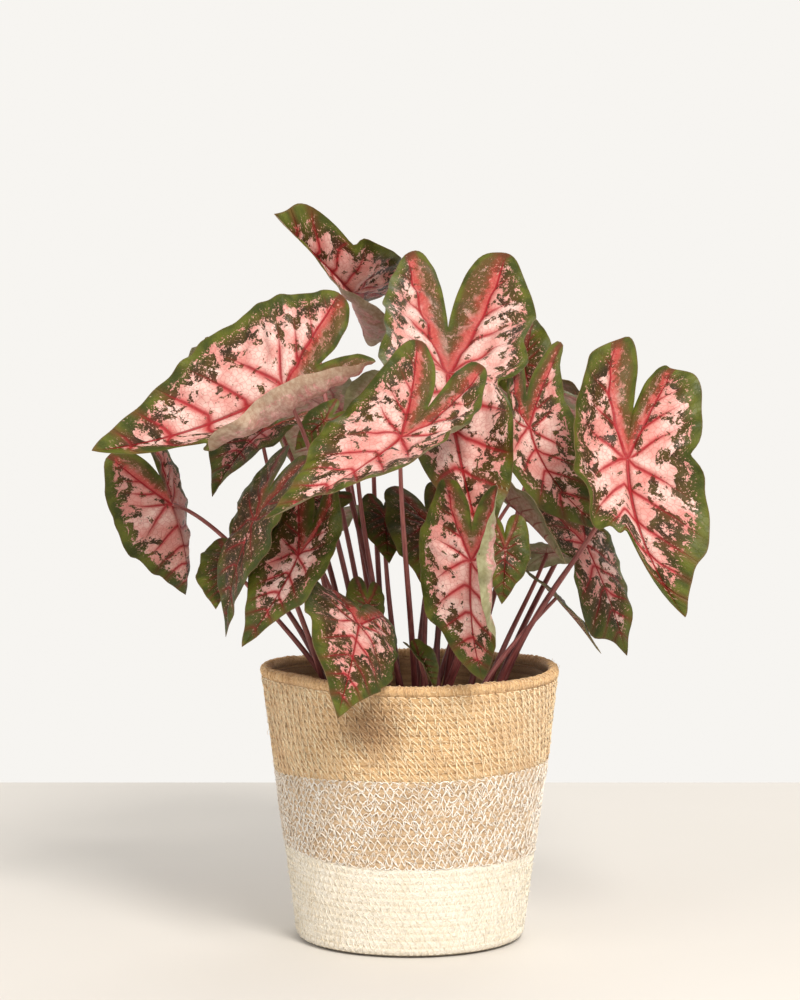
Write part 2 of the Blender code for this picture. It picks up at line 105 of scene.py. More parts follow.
# Leaves
HALF_WIDTH = 0.46
STEPS = 320
THICKNESS = 0.5
STEM_TOP_RADIUS = 1.15
STEM_SIDES = 12
STEM_RINGS = 30
WAVES = 5
LATERAL_SPACING = 0.2
LOBE_SPACING = 0.125
BASAL = (0.375, 0.927)
# Fewest and most points along a quarter of a blade's outline, and rings of points from its middle
QUARTER_POINTS = (16, 50)
POINTS_PER_MM = 1.5
ROWS = (8, 24)
ROW_WIDTH = 5.2
WAVINESS = 0.014
RAGGEDNESS = 0.02
GLOW_THROUGH = 0.16

# Reach of a blade from the top of its stem, as a share of the midrib, at an angle from the tip
OUTLINE = (
    (0, 1.00), (6, 0.86), (15, 0.72), (30, 0.60), (50, 0.52), (75, 0.47), (100, 0.46),
    (125, 0.52), (145, 0.63), (158, 0.70), (168, 0.66), (175, 0.50), (180, 0.30),
)

Leaf = namedtuple(
    "Leaf",
    "name attach tip faces root width lobes sweep fold curl droop lobe_droop twist wave dents bow stem",
    defaults=(1.0, 1.0, 0, (8, 8), (-15, -15), 30, 15, 0, 2.0, (), (0, 0), 2.2),
)

LEAVES = (
    Leaf("leaf_01_top_curled", (-38, 79, 409), (-86, 7, 461), (0.05, -1, 0.05), (-16, 1),
         width=0.86, fold=(18, 56), curl=(0, 170), droop=58, lobe_droop=14, twist=17,
         dents=((-13, -0.3, 8), (-28, 0.14, 5)), bow=(16, -20)),
    Leaf("leaf_02_broad_left", (-77, -95, 355), (-195, -75, 316), (0, -0.9, 0.42), (-25, -17),
         width=1.0, lobes=0.68, sweep=-24, fold=(0, 20), curl=(-6, 155), droop=-10, lobe_droop=20,
         dents=((14, 0.34, 9), (30, 0.15, 12), (-38, 0.05, 14))),
    Leaf("leaf_03_tall_centre", (24, -19, 361), (46, -103, 252), (0, -1, 0), (12, 11),
         width=0.96, lobes=1.24, sweep=8, fold=(45, 5), curl=(10, 0), droop=60, lobe_droop=-18,
         dents=((53, 0.44, 20), (95, 0.2, 30), (-100, 0.24, 45)), bow=(6, 3)),
    Leaf("leaf_04_front_centre", (-6, -125, 327), (-86, -183, 284), (-0.34, -0.78, 0.53), (4, -27),
         width=0.86, lobes=1.14, sweep=-30, fold=(6, 16), curl=(-10, 50), droop=12, lobe_droop=-10,
         twist=15, bow=(0, 3)),
    Leaf("leaf_05_centre_right", (75, -24, 327), (124, -14, 260), (0.5, -0.82, 0.25), (21, -18),
         width=1.02, lobes=0.95, sweep=60, fold=(14, 6), curl=(5, -10), droop=5, lobe_droop=0,
         twist=20, dents=((-127, 0.6, 17), (-22, -0.28, 16), (160, -0.2, 14)), bow=(-20, 6)),
    Leaf("leaf_06_broad_right", (133, -74, 311), (166, -108, 217), (-0.1, -1, 0), (48, -14),
         width=0.98, lobes=1.15, sweep=34, fold=(30, 0), curl=(75, 0), droop=30, lobe_droop=0,
         dents=((160, 0.25, 17), (88, 0.13, 9), (36, -0.17, 23), (-10, 0.35, 6), (-22, 0.28, 10),
                (-58, 0.22, 16))),
    Leaf("leaf_07_lower_right", (113, 14, 250), (139, -4, 181), (0.65, -0.75, 0.1), (52, 2),
         sweep=-5, fold=(0, -10), curl=(0, -30), droop=10, dents=((-75, 0.5, 30), (-24, -0.34, 12))),
    Leaf("leaf_08_far_left", (-150, -13, 278), (-145, 38, 215), (0.06, -1, 0.07), (-48, -8),
         width=1.05, lobes=0.85, sweep=-22, fold=(5, -76), curl=(0, -10), droop=35, bow=(12, 11)),
    Leaf("leaf_09_inner_left", (-94, -3, 323), (-123, -43, 285), (-0.45, -0.8, 0.35), (-26, -1),
         fold=(12, 16), curl=(-8, -4), droop=35, twist=10, bow=(-7, -8)),
    Leaf("leaf_10_front_low", (36, -125, 253), (44, -99, 177), (-0.56, -0.82, 0.1), (14, -46),
         lobes=0.88, fold=(9, 0), curl=(-24, 155), droop=30, lobe_droop=0, twist=-6, bow=(5, 0)),
    Leaf("leaf_11_lower_left", (-68, -92, 253), (-102, -107, 199), (-0.62, -0.76, 0.2), (-23, -31),
         lobes=1.15, sweep=-22, fold=(10, 14), curl=(-14, -8), droop=8, lobe_droop=-3, twist=-7,
         bow=(-14, 5)),
    Leaf("leaf_12_narrow_left", (-96, -73, 273), (-114, -65, 200), (-0.9, -0.45, 0.15), (-44, -34),
         fold=(0, 8), droop=25, bow=(-8, -4)),
    Leaf("leaf_13_round_left", (-113, -18, 241), (-120, -58, 216), (-0.4, -0.9, 0.05), (-40, -12),
         lobes=0.85, fold=(17, 17), curl=(0, -12), droop=0, lobe_droop=-12),
    Leaf("leaf_14_over_rim", (-31, -102, 212), (-43, -166, 164), (0.14, -1, 0.06), (-12, -45),
         fold=(4, -17), curl=(15, -45), droop=28, lobe_droop=28, twist=-12, bow=(6, -2)),
    Leaf("leaf_15_small_green", (-27, -49, 217), (-30, -59, 188), (0.2, -1, 0.05), (-7, -17),
         fold=(5, -10), curl=(-15, -35), droop=25, lobe_droop=10, bow=(11, -4)),
    Leaf("leaf_16_dark_centre", (13, -35, 267), (14, -79, 225), (0.1, -1, 0.12), (8, -16),
         sweep=-15, fold=(2, 5), curl=(-12, -10), droop=14, lobe_droop=5, bow=(0, 5)),
    Leaf("leaf_17_dark_behind", (-16, -16, 271), (-13, -40, 243), (0, -1, 0.15), (-4, 2), bow=(-4, -3)),
    Leaf("leaf_18_folded_right", (62, -44, 281), (96, -73, 246), (0.8, 0, 0.6), (21, -2),
         fold=(30, 15), curl=(-20, -40), droop=10, bow=(-3, 1)),
    Leaf("leaf_19_back_low_left", (-69, 72, 255), (-97, 115, 205), (-0.5, 0.8, 0.3), (-28, 34),
         bow=(3, 6)),
    Leaf("leaf_20_purple_below", (89, 43, 242), (113, 19, 240), (0.2, 0.65, 0.7), (45, 13),
         fold=(-5, 12), curl=(-25, -10), droop=40, lobe_droop=30),
    Leaf("leaf_21_edge_on", (93, -6, 218), (121, -13, 183), (0.8, 0, 0.6), (36, -20), droop=10,
         bow=(-2, 3)),
    Leaf("leaf_22_young", (6, -67, 186), (15, -75, 168), (0.6, -0.7, 0.2), (8, -53), fold=(50, 50),
         bow=(7, -1)),
    Leaf("leaf_23_behind_right", (73, 34, 366), (81, 10, 328), (0, -1, 0.1), (20, 26),
         lobes=1.05, droop=5, lobe_droop=-15, bow=(3, -15)),
    Leaf("leaf_24_pale_behind", (-22, 45, 345), (-45, 60, 320), (0, 0.85, 0.5), (-16, 22)),
    Leaf("leaf_25_dark_inner", (-54, -22, 331), (-72, -26, 313), (0, -0.8, 0.5), (-23, 6), bow=(2, -3)),
    Leaf("leaf_26_green_inner", (-33, -37, 318), (-61, -43, 308), (-0.2, -0.8, 0.5), (-13, -12),
         bow=(2, -21)),
    Leaf("leaf_27_behind_tip", (-61, -30, 284), (-93, -33, 268), (-0.3, -0.8, 0.4), (-33, -32),
         bow=(-5, 0)),
    Leaf("leaf_28_green_low", (58, -81, 256), (56, -81, 222), (0.2, -1, 0), (15, -38), bow=(6, -4)),
    Leaf("leaf_29_back_left", (-105, 57, 371), (-140, 107, 321), (-0.4, 0.8, 0.45), (-40, 18),
         bow=(15, -16)),
    Leaf("leaf_30_back_broad", (-46, 115, 331), (-66, 180, 263), (-0.2, 0.75, 0.6), (-18, 38),
         bow=(-1, 9)),
    Leaf("leaf_31_back_tall", (32, 117, 371), (41, 181, 318), (0.1, 0.7, 0.7), (3, 46), bow=(1, -2)),
    Leaf("leaf_32_back_right", (89, 115, 332), (114, 170, 270), (0.4, 0.75, 0.5), (36, 40),
         bow=(6, -2)),
    Leaf("leaf_33_right_side", (138, 74, 325), (183, 109, 268), (0.7, 0.5, 0.5), (49, 20),
         bow=(11, 24)),
    Leaf("leaf_34_back_low", (37, 105, 244), (43, 135, 204), (0, 0.9, 0.3), (12, 28), bow=(7, -7)),
)

# How green a leaf is, from 0 for the palest to 1, where it isn't the usual
USUAL_GREEN = 0.5
GREENS = {
    "01": 0.46, "02": 0.46, "03": 0.46, "04": 0.46, "05": 0.4, "06": 0.47, "07": 0.52, "08": 0.32,
    "09": 0.52, "10": 0.36, "11": 0.48, "12": 0.85, "13": 0.66, "14": 0.58, "15": 0.9, "16": 0.8,
    "17": 1.1, "18": 0.75, "21": 1.0, "22": 0.9, "23": 0.66, "25": 0.9, "26": 0.85, "27": 0.6,
    "28": 0.85,
}
# How far the reds of a leaf are deepened, from 0 to 1
USUAL_RED = 0.35
REDS = {"03": 0.25, "08": 0.5, "09": 0.9, "16": 1.0, "17": 1.0, "25": 0.8, "14": 0.6, "11": 0.4}
# How pink the underside of a leaf is, from 0 for greyish green to 1
PINK_BELOW = {"01": 0.4, "02": 0.55}


# Node trees
def rgb(red, green, blue):
    """A colour of 0 to 255 as a linear one."""
    share = np.array((red, green, blue)) / 255
    linear = np.where(share <= 0.04045, share / 12.92, ((share + 0.055) / 1.055) ** 2.4)
    return (*(float(c) for c in linear), 1.0)


def plug(socket, value):
    """Link a node's input to a field, or set it."""
    if isinstance(value, Field):
        socket.id_data.links.new(value.socket, socket)
    else:
        socket.default_value = value


def new_node(tree, kind, inputs, output=0, **settings):
    """An output of a new node with these inputs and settings."""
    made = tree.nodes.new("ShaderNode" + kind)
    for name, value in settings.items():
        setattr(made, name, value)
    for name, value in inputs.items():
        plug(made.inputs[name], value)
    return Field(made.outputs[output])


class Field:
    """A number or colour that varies over a surface, kept as a node's output."""

    def __init__(self, socket):
        self.socket = socket

    def math(self, operation, *others):
        inputs = dict(enumerate((self, *others)))
        return new_node(self.socket.id_data, "Math", inputs, operation=operation)

    def __add__(self, other):
        return self.math("ADD", other)

    def __sub__(self, other):
        return self.math("SUBTRACT", other)

    def __mul__(self, other):
        return self.math("MULTIPLY", other)

    def __abs__(self):
        return self.math("ABSOLUTE")

    def most(self, other):
        return self.math("MAXIMUM", other)

    def least(self, other):
        return self.math("MINIMUM", other)

    def ramp(self, start, end, low=0.0, high=1.0):
        """Smooth step from low at start to high at end."""
        inputs = {"Value": self, "From Min": start, "From Max": end, "To Min": low, "To Max": high}
        tree = self.socket.id_data
        return new_node(tree, "MapRange", inputs, "Result", interpolation_type="SMOOTHSTEP")

    def to_line(self):
        """Distance from a whole number."""
        return abs(self.math("FRACT") - 0.5) * -1 + 0.5


class Finish:
    """A material whose nodes are added by short calls."""

    def __init__(self, name):
        self.material = bpy.data.materials.new(name)
        self.material.use_nodes = True
        self.tree = self.material.node_tree
        self.shader = self.tree.nodes["Principled BSDF"]

    def attribute(self, name):
        return new_node(self.tree, "Attribute", {}, "Vector", attribute_name=name)

    def object_place(self):
        return new_node(self.tree, "TexCoord", {}, "Object")

    def parts(self, vector):
        first = new_node(self.tree, "SeparateXYZ", {0: vector})
        return [Field(output) for output in first.socket.node.outputs]

    def stretched(self, vector, by):
        return new_node(self.tree, "VectorMath", {0: vector, 1: by}, operation="MULTIPLY")

    def noise(self, vector, scale, detail=3.0, roughness=0.55, distortion=0.0):
        inputs = {"Vector": vector, "Scale": scale, "Detail": detail, "Roughness": roughness,
                  "Distortion": distortion}
        return new_node(self.tree, "TexNoise", inputs, "Fac")

    def cells(self, vector, scale):
        """Distance to the edges of cells."""
        inputs = {"Vector": vector, "Scale": scale}
        return new_node(self.tree, "TexVoronoi", inputs, "Distance", feature="DISTANCE_TO_EDGE")

    def mix(self, share, first, second):
        return new_node(self.tree, "Mix", {0: share, 6: first, 7: second}, 2, data_type="RGBA")

    def shadow_and_stain(self, colour, shade, share):
        """Paint the front leaf's shadow, with some dirt, as a soft darker patch of the basket below it.
        """
        inputs = {0: self.object_place(), 1: SHADOW_STAIN_PLACE}
        away = new_node(self.tree, "VectorMath", inputs, "Value", operation="DISTANCE")
        return self.mix(away.ramp(SHADOW_STAIN_SPREAD, 0.0) * share, colour, shade)

    def bump(self, height, distance, strength=1.0):
        inputs = {"Height": height, "Distance": distance * MM, "Strength": strength}
        normal = new_node(self.tree, "Bump", inputs)
        plug(self.shader.inputs["Normal"], normal)
        return normal

    def set(self, **values):
        for name, value in values.items():
            plug(self.shader.inputs[name.replace("_", " ")], value)

    def glow_through(self, colour, normal):
        """Let some light through a thin leaf."""
        through = new_node(self.tree, "BsdfTranslucent", {"Color": colour, "Normal": normal})
        inputs = {0: GLOW_THROUGH, 1: Field(self.shader.outputs[0]), 2: through}
        mixed = new_node(self.tree, "MixShader", inputs)
        plug(self.tree.nodes["Material Output"].inputs["Surface"], mixed)


# Leaf materials
def leaf_pattern(finish):
    """Fields that both sides of a leaf share: veins, flush, green and grain."""
    place = finish.attribute("place")
    side, lateral, lobe = finish.parts(finish.attribute("ribs"))
    basal, ahead, margin = finish.parts(finish.attribute("hub"))
    green_share, red_share, pink_share = finish.parts(finish.attribute("mood"))
    outwards = side.ramp(0.0, 0.42)
    forward = ahead.ramp(-0.012, 0.012)
    backward = ahead.ramp(0.012, -0.012)

    midrib = side.ramp(ahead.ramp(0.0, 1.0, 0.014, 0.004), 0.003) * forward
    basal_vein = abs(basal).ramp(ahead.ramp(0.0, -0.62, 0.0155, 0.005), 0.003) * backward
    lateral_width = outwards.ramp(0.0, 1.0, 0.015, 0.0035)
    from_lateral = lateral.to_line() * (LATERAL_SPACING / 1.2)
    from_lobe = lobe.to_line() * LOBE_SPACING
    upper_part = lateral.ramp(-0.3, -0.2)
    lower_part = lobe.ramp(-0.3, -0.2) * basal.ramp(-0.004, 0.004) * backward
    upper = from_lateral.ramp(lateral_width, 0.001) * upper_part
    lower = from_lobe.ramp(lateral_width, 0.001) * lower_part
    laterals = upper.most(lower)
    veins = midrib.most(basal_vein).most(laterals * outwards.ramp(0.3, 0.95, 0.95, 0.15))

    near_lateral = from_lateral.ramp(0.055, 0.004) * upper_part
    near_lobe = from_lobe.ramp(0.045, 0.004) * lower_part
    halo = near_lateral.most(near_lobe) * outwards.ramp(1.0, 0.3)
    drift = finish.noise(place, 0.12, 4.0, 0.6) - 0.5
    outer_glow = (basal + drift * 0.08).ramp(0.034, -0.008)
    inner_glow = (basal + drift * 0.09).ramp(-0.085, -0.012)
    inner = (basal + drift * 0.05).ramp(0.006, -0.05) * backward
    deeper = (basal + drift * 0.10).ramp(-0.01, -0.075)
    lobe_glow = outer_glow.least(inner_glow) * ahead.ramp(0.06, -0.03)
    midrib_glow = (side + drift * 0.06).ramp(0.04, 0.0) * ahead.ramp(0.6, 0.0, 0.0, 0.75)
    flush = lobe_glow.most(midrib_glow * forward)

    mottle = finish.noise(place, 0.3, 4.0, 0.6)
    net = finish.cells(place, 0.3).ramp(0.085, 0.01)
    patches = finish.noise(place, 0.125, 5.0, 0.62, 0.45)
    specks = finish.noise(place, 0.62, 3.0, 0.6, 0.4)
    rim = margin.ramp(34.0, 5.0)
    solid = (margin + (patches - 0.5) * 16.0).ramp(5.6, 4.8).most(margin.ramp(2.6, 2.0))
    field = rim * 0.34 + (patches - 0.5) * 2.1 + (specks - 0.5) * 0.5
    field = field + green_share * 0.9 + halo * outwards * 0.12 - flush * 0.14
    green = field.ramp(0.15, 0.185).most(solid)
    return SimpleNamespace(
        place=place, margin=margin, veins=veins, flush=flush, halo=halo, patches=patches,
        specks=specks, green=green, red=red_share, pink=pink_share, rim=rim, inner=inner,
        deeper=deeper, mottle=mottle, net=net,
    )


def upper_leaf():
    finish = Finish("leaf_upper")
    p = leaf_pattern(finish)
    broad = finish.noise(p.place, 0.05, 2.0, 0.5)
    paleness = (broad - p.rim * 0.12).ramp(0.3, 0.6)
    pink = finish.mix(paleness, rgb(226, 162, 150), rgb(250, 221, 208))
    pink = finish.mix(p.mottle.ramp(0.45, 0.75) * 0.4, pink, rgb(208, 118, 110))
    pink = finish.mix(p.net * 0.4, pink, rgb(196, 90, 86))
    pink = finish.mix(p.halo * p.halo * 0.8, pink, rgb(198, 62, 60))
    blushing = finish.noise(p.place, 0.5, 3.0).ramp(0.3, 0.7)
    blush = finish.mix(blushing, rgb(180, 48, 46), rgb(208, 92, 80))
    pink = finish.mix(p.flush * 0.85, pink, blush)
    deep = finish.mix(p.flush, rgb(190, 100, 102), rgb(140, 28, 38))
    pink = finish.mix(p.red * 0.5, pink, deep)

    broad_green = finish.noise(p.place, 0.09, 3.0).ramp(0.35, 0.65)
    olive = finish.mix(broad_green, rgb(56, 42, 20), rgb(82, 66, 28))
    broad_edge = finish.noise(p.place, 0.07, 3.0).ramp(0.35, 0.65)
    leafy = finish.mix(broad_edge, rgb(62, 70, 20), rgb(98, 102, 32))
    green = finish.mix((p.margin + (p.mottle - 0.5) * 6.0).ramp(13.0, 4.0), olive, leafy)
    green = finish.mix(p.flush.ramp(0.0, 0.8) * 0.75, green, rgb(112, 52, 38))
    green = finish.mix(p.halo * 0.4, green, rgb(124, 50, 38))
    fleck = p.specks.ramp(0.605, 0.63) * p.margin.ramp(2.5, 7.0)
    green = finish.mix(fleck * 0.85, green, rgb(222, 168, 148))
    colour = finish.mix(p.green, pink, green)
    sinus = finish.mix(p.deeper, rgb(186, 60, 52), rgb(106, 80, 40))
    sinus = finish.mix(p.green * 0.35, sinus, rgb(92, 66, 40))
    sinus = finish.mix(fleck * 0.7, sinus, rgb(222, 150, 134))
    ragged = p.patches.ramp(0.34, 0.56, 0.45, 0.9)
    colour = finish.mix(p.inner * ragged * p.margin.ramp(1.5, 5.0), colour, sinus)

    vein_colour = finish.mix(p.green, rgb(168, 24, 34), rgb(134, 38, 32))
    vein_colour = finish.mix(p.red * 0.6, vein_colour, rgb(132, 18, 32))
    colour = finish.mix(p.veins * p.margin.ramp(1.0, 10.0) * 0.9, colour, vein_colour)
    colour = finish.mix(p.margin.ramp(0.9, 0.2) * 0.6, colour, rgb(112, 88, 56))

    pucker = finish.noise(p.place, 0.35, 3.0)
    height = pucker * 0.6 - p.veins * 0.9 - p.net * 0.22 + p.specks * 0.15
    normal = finish.bump(height, 0.6, 0.8)
    finish.set(
        Base_Color=colour,
        Roughness=p.mottle.ramp(0.2, 0.8, 0.38, 0.54),
        Specular_IOR_Level=0.24,
        Coat_Weight=0.04,
        Coat_Roughness=0.35,
    )
    finish.glow_through(colour, normal)
    return finish.material


def under_leaf():
    finish = Finish("leaf_under")
    p = leaf_pattern(finish)
    mauve = finish.mix(p.mottle.ramp(0.3, 0.7), rgb(202, 138, 130), rgb(230, 186, 174))
    mauve = finish.mix(p.flush * 0.5, mauve, rgb(176, 84, 80))
    mauve = finish.mix(p.net * 0.3, mauve, rgb(166, 98, 98))
    grey_green = finish.mix(p.mottle.ramp(0.3, 0.7), rgb(132, 140, 98), rgb(176, 182, 140))
    grey_green = finish.mix(p.margin.ramp(10.0, 2.0) * 0.5, grey_green, rgb(128, 144, 84))
    grey_share = p.green * p.margin.ramp(14.0, 3.0, 0.4, 0.85) * (p.pink * -0.8 + 1.0)
    colour = finish.mix(grey_share, mauve, grey_green)
    colour = finish.mix(p.red * 0.35, colour, rgb(120, 58, 62))
    colour = finish.mix(p.veins * p.margin.ramp(1.0, 9.0) * 0.8, colour, rgb(160, 82, 78))
    height = p.mottle * 0.4 + p.veins * 1.2 + p.net * 0.15
    normal = finish.bump(height, 0.6, 0.8)
    finish.set(Base_Color=colour, Roughness=p.mottle.ramp(0.2, 0.8, 0.5, 0.66), Specular_IOR_Level=0.35)
    finish.glow_through(colour, normal)
    return finish.material


def leaf_edge():
    finish = Finish("leaf_edge")
    shade = finish.noise(finish.attribute("place"), 0.2, 3.0)
    edge = finish.mix(shade.ramp(0.3, 0.7), rgb(112, 76, 56), rgb(126, 108, 68))
    finish.set(Base_Color=edge, Roughness=0.55)
    finish.bump(shade, 0.2)
    return finish.material


def stem_skin():
    finish = Finish("leaf_stem")
    place = finish.attribute("place")
    rise, _, _ = finish.parts(finish.attribute("ribs"))
    streaks = finish.noise(finish.stretched(place, (1.0, 0.06, 1.0)), 1.1, 3.0, 0.6)
    blots = finish.noise(place, 0.12, 3.0, 0.6)
    low = finish.mix(streaks.ramp(0.3, 0.7), rgb(76, 32, 32), rgb(118, 58, 54))
    high = finish.mix(streaks.ramp(0.3, 0.7), rgb(136, 68, 66), rgb(180, 114, 106))
    colour = finish.mix((rise + (blots - 0.5) * 0.5).ramp(0.15, 0.85), low, high)
    colour = finish.mix(blots.ramp(0.6, 0.72) * 0.35, colour, rgb(100, 80, 56))
    finish.set(Base_Color=colour, Roughness=streaks.ramp(0.2, 0.8, 0.38, 0.52), Specular_IOR_Level=0.4)
    finish.bump(streaks, 0.35, 0.7)
    return finish.material


# Leaf shapes, as in the part's source
def smooth_curve(knots, x):
    """Height at x of a smooth curve through the knots."""
    xs, ys = np.array(knots, float).T
    slopes = np.gradient(ys, xs)
    i = np.clip(np.searchsorted(xs, x, side="right") - 1, 0, len(xs) - 2)
    step = xs[i + 1] - xs[i]
    t = (x - xs[i]) / step
    start = (1 + 2 * t) * (1 - t) ** 2 * ys[i] + t * (1 - t) ** 2 * step * slopes[i]
    end = t * t * (3 - 2 * t) * ys[i + 1] + t * t * (t - 1) * step * slopes[i + 1]
    return start + end


def walked(distances, headings):
    """Forward and upward travel along a line that heads up by the given angles."""
    steps = np.diff(distances, prepend=distances[0])
    middles = (headings + np.roll(headings, 1)) / 2
    return np.cumsum(steps * np.cos(middles)), np.cumsum(steps * np.sin(middles))


def section(leaf, across):
    """Sideways and upward place of points of the blade, by their distance from the midrib."""
    distances = np.linspace(0, 0.8, STEPS)
    sideways = np.zeros_like(across)
    upward = np.zeros_like(across)
    for side, fold, curl in ((-1, leaf.fold[0], leaf.curl[0]), (1, leaf.fold[1], leaf.curl[1])):
        headings = np.radians(fold + curl * (distances / HALF_WIDTH) ** 2)
        run, rise = walked(distances, headings)
        half = across * side > 0
        sideways[half] = side * np.interp(np.abs(across[half]), distances, run)
        upward[half] = np.interp(np.abs(across[half]), distances, rise)
    return sideways, upward


def midrib(leaf):
    """Place along the midrib, travel and heading, from the lobes to the tip."""
    halves = []
    for end, bend in ((-1.1, leaf.lobe_droop / 0.65), (1.1, leaf.droop)):
        along = np.linspace(0, end, STEPS)
        heading = -np.radians(bend * along)
        halves.append((along, *walked(along, heading), heading))
    return [np.concatenate((behind[:0:-1], ahead)) for behind, ahead in zip(*halves)]


def blade_local(leaf, angles, shares):
    """Right, forward and up of blade points, with the midrib one long and the stem at zero."""
    turn = np.radians(np.abs(angles))
    reach = smooth_curve(OUTLINE, np.abs(angles)) * shares
    for place, depth, spread in leaf.dents:
        reach = reach * (1 - depth * shares * np.exp(-((angles - place) / spread) ** 2))
    across = np.sign(angles) * reach * np.sin(turn) * leaf.width
    along = reach * np.cos(turn)
    along = np.where(along < 0, along * leaf.lobes, along)
    sideways, upward = section(leaf, across)
    wave = leaf.wave * 0.01 * shares ** 2 * np.sin(WAVES * np.radians(angles) + leaf.attach[0])
    upward = upward + wave
    roll = np.radians(leaf.twist) * along
    rolled = sideways * np.cos(roll) - upward * np.sin(roll) + math.radians(leaf.sweep) / 2 * along ** 2
    raised = sideways * np.sin(roll) + upward * np.cos(roll)
    stations, run, rise, heading = midrib(leaf)
    head = np.interp(along, stations, heading)
    forward = np.interp(along, stations, run) - raised * np.sin(head)
    up = np.interp(along, stations, rise) + raised * np.cos(head)
    return rolled, forward, up


def unit(vector):
    return vector / np.linalg.norm(vector)


def blade_frame(leaf):
    tip = np.array([float(v[0]) for v in blade_local(leaf, np.array([0.0]), np.array([1.0]))])
    chord = np.array(leaf.tip, float) - np.array(leaf.attach, float)
    size = np.linalg.norm(chord) / np.linalg.norm(tip)
    tip = unit(tip)
    above = unit(np.array((0, 0, 1)) - tip[2] * tip)
    chord = unit(chord)
    facing = np.array(leaf.faces, float)
    facing = unit(facing - facing.dot(chord) * chord)
    local = np.stack((np.cross(tip, above), tip, above))
    world = np.stack((np.cross(facing, chord), chord, facing))
    return local.T @ world, size


def blade_points(leaf, angles, shares):
    axes, size = blade_frame(leaf)
    local = np.stack(blade_local(leaf, angles, shares), -1)
    return np.array(leaf.attach, float) + size * local @ axes


def soil_height(x, y):
    share = min(1.0, math.hypot(x, y) / POT_TOP_RADIUS)
    return SOIL_TOP + SOIL_CROWN * (1 - share ** 2)


def stem_points(leaf, count):
    """Points up a stem, from its foot in the soil to the blade's underside."""
    up = blade_frame(leaf)[0][2]
    attach = np.array(leaf.attach, float)
    foot = np.array((*leaf.root, soil_height(*leaf.root) - STEM_HOLE_DEPTH + 4))
    ground = foot + (0, 0, STEM_HOLE_DEPTH - 2)
    rise = attach[2] - ground[2]
    lean = (attach - ground) * (1, 1, 0)
    out = attach - ground
    arrival = unit(up * 0.8 + unit(out) * 0.6)
    bow = np.array((*leaf.bow, 0.0))
    low = ground + (0, 0, rise * 0.35) + lean * 0.12 + bow
    high = attach - arrival * (0.28 * np.linalg.norm(out)) + bow
    end = attach - up * 0.25
    t = np.linspace(0, 1, count)[:, None]
    weights = ((1 - t) ** 3, 3 * (1 - t) ** 2 * t, 3 * (1 - t) * t * t, t ** 3)
    curve = sum(weight * point for weight, point in zip(weights, (ground, low, high, end)))
    return np.concatenate((foot[None], curve))


# Meshes
def add_object(name, data):
    obj = bpy.data.objects.new(name, data)
    bpy.context.scene.collection.objects.link(obj)
    return obj


def make_piece(name, points, faces, attributes, materials, indices=None, sharp=40):
    """A mesh piece from points in millimetres, with vector attributes at its points."""
    mesh = bpy.data.meshes.new(name)
    mesh.from_pydata((np.asarray(points, float) * MM).tolist(), [], faces)
    for key, values in attributes.items():
        made = mesh.attributes.new(key, "FLOAT_VECTOR", "POINT")
        made.data.foreach_set("vector", np.asarray(values, np.float32).ravel())
    for material in materials:
        mesh.materials.append(material)
    if indices is not None:
        mesh.polygons.foreach_set("material_index", np.asarray(indices, np.int32))
    mesh.polygons.foreach_set("use_smooth", np.ones(len(mesh.polygons), bool))
    if sharp:
        mesh.set_sharp_from_angle(angle=math.radians(sharp))
    mesh.update()
    obj = add_object(name, mesh)
    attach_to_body(obj, "root")
    return obj


def ring_faces(start, rings, sides, turned=False):
    """Quads from each ring of points to the next, or turned over."""
    faces = []
    for low in range(start, start + (rings - 1) * sides, sides):
        high = low + sides
        for j in range(sides):
            k = (j + 1) % sides
            if turned:
                faces.append((low + j, high + j, high + k, low + k))
            else:
                faces.append((low + j, low + k, high + k, high + j))
    return faces


def fan(centre, start, sides, turned=False):
    """Triangles from a point to each side of a ring, or turned over."""
    pairs = [(start + j, start + (j + 1) % sides) for j in range(sides)]
    return [(centre, b, a) if turned else (centre, a, b) for a, b in pairs]


def point_normals(points, faces):
    """Unit normals at points of a mesh of quads and triangles."""
    normals = np.zeros_like(points)
    for count in (3, 4):
        chosen = np.array([f for f in faces if len(f) == count])
        if len(chosen) == 0:
            continue
        corner = points[chosen]
        face = np.cross(corner[:, 2] - corner[:, 0], corner[:, count - 1] - corner[:, 1])
        for k in range(count):
            np.add.at(normals, chosen[:, k], face)
    return normals / (np.linalg.norm(normals, axis=1, keepdims=True) + 1e-12)


def tube(points, radii, sides):
    """Points and faces of a closed tube along a line."""
    tangents = np.gradient(points, axis=0)
    tangents /= np.linalg.norm(tangents, axis=1, keepdims=True) + 1e-12
    across = unit(np.cross(tangents[0], (0.31, 0.72, 0.13)))
    angles = np.linspace(0, 2 * math.pi, sides, endpoint=False)[:, None]
    rings = []
    for point, tangent, radius in zip(points, tangents, radii):
        across = unit(across - across.dot(tangent) * tangent)
        other = np.cross(tangent, across)
        rings.append(point + radius * (np.cos(angles) * across + np.sin(angles) * other))
    ends = len(points) * sides
    faces = ring_faces(0, len(points), sides)
    faces += fan(ends, 0, sides, turned=True) + fan(ends + 1, ends - sides, sides)
    return np.concatenate(rings + [points[:1], points[-1:]]), faces


def flat_place(angles, shares=1.0):
    """Places in a flat blade, in midrib lengths, at shares of the way to its outline."""
    reach = smooth_curve(OUTLINE, np.abs(angles)) * shares
    turn = np.radians(angles)
    return np.stack((reach * np.sin(turn), reach * np.cos(turn)), -1)


def outline_angles(count):
    """Angles round the blade that are evenly spaced along its outline."""
    half = np.linspace(0, 180, 1441)
    way = np.cumsum(np.linalg.norm(np.diff(flat_place(half), axis=0), axis=1))
    half = np.interp(np.linspace(0, way[-1], count // 2 + 1), (0, *way), half)
    return np.concatenate((half, -half[-2:0:-1]))


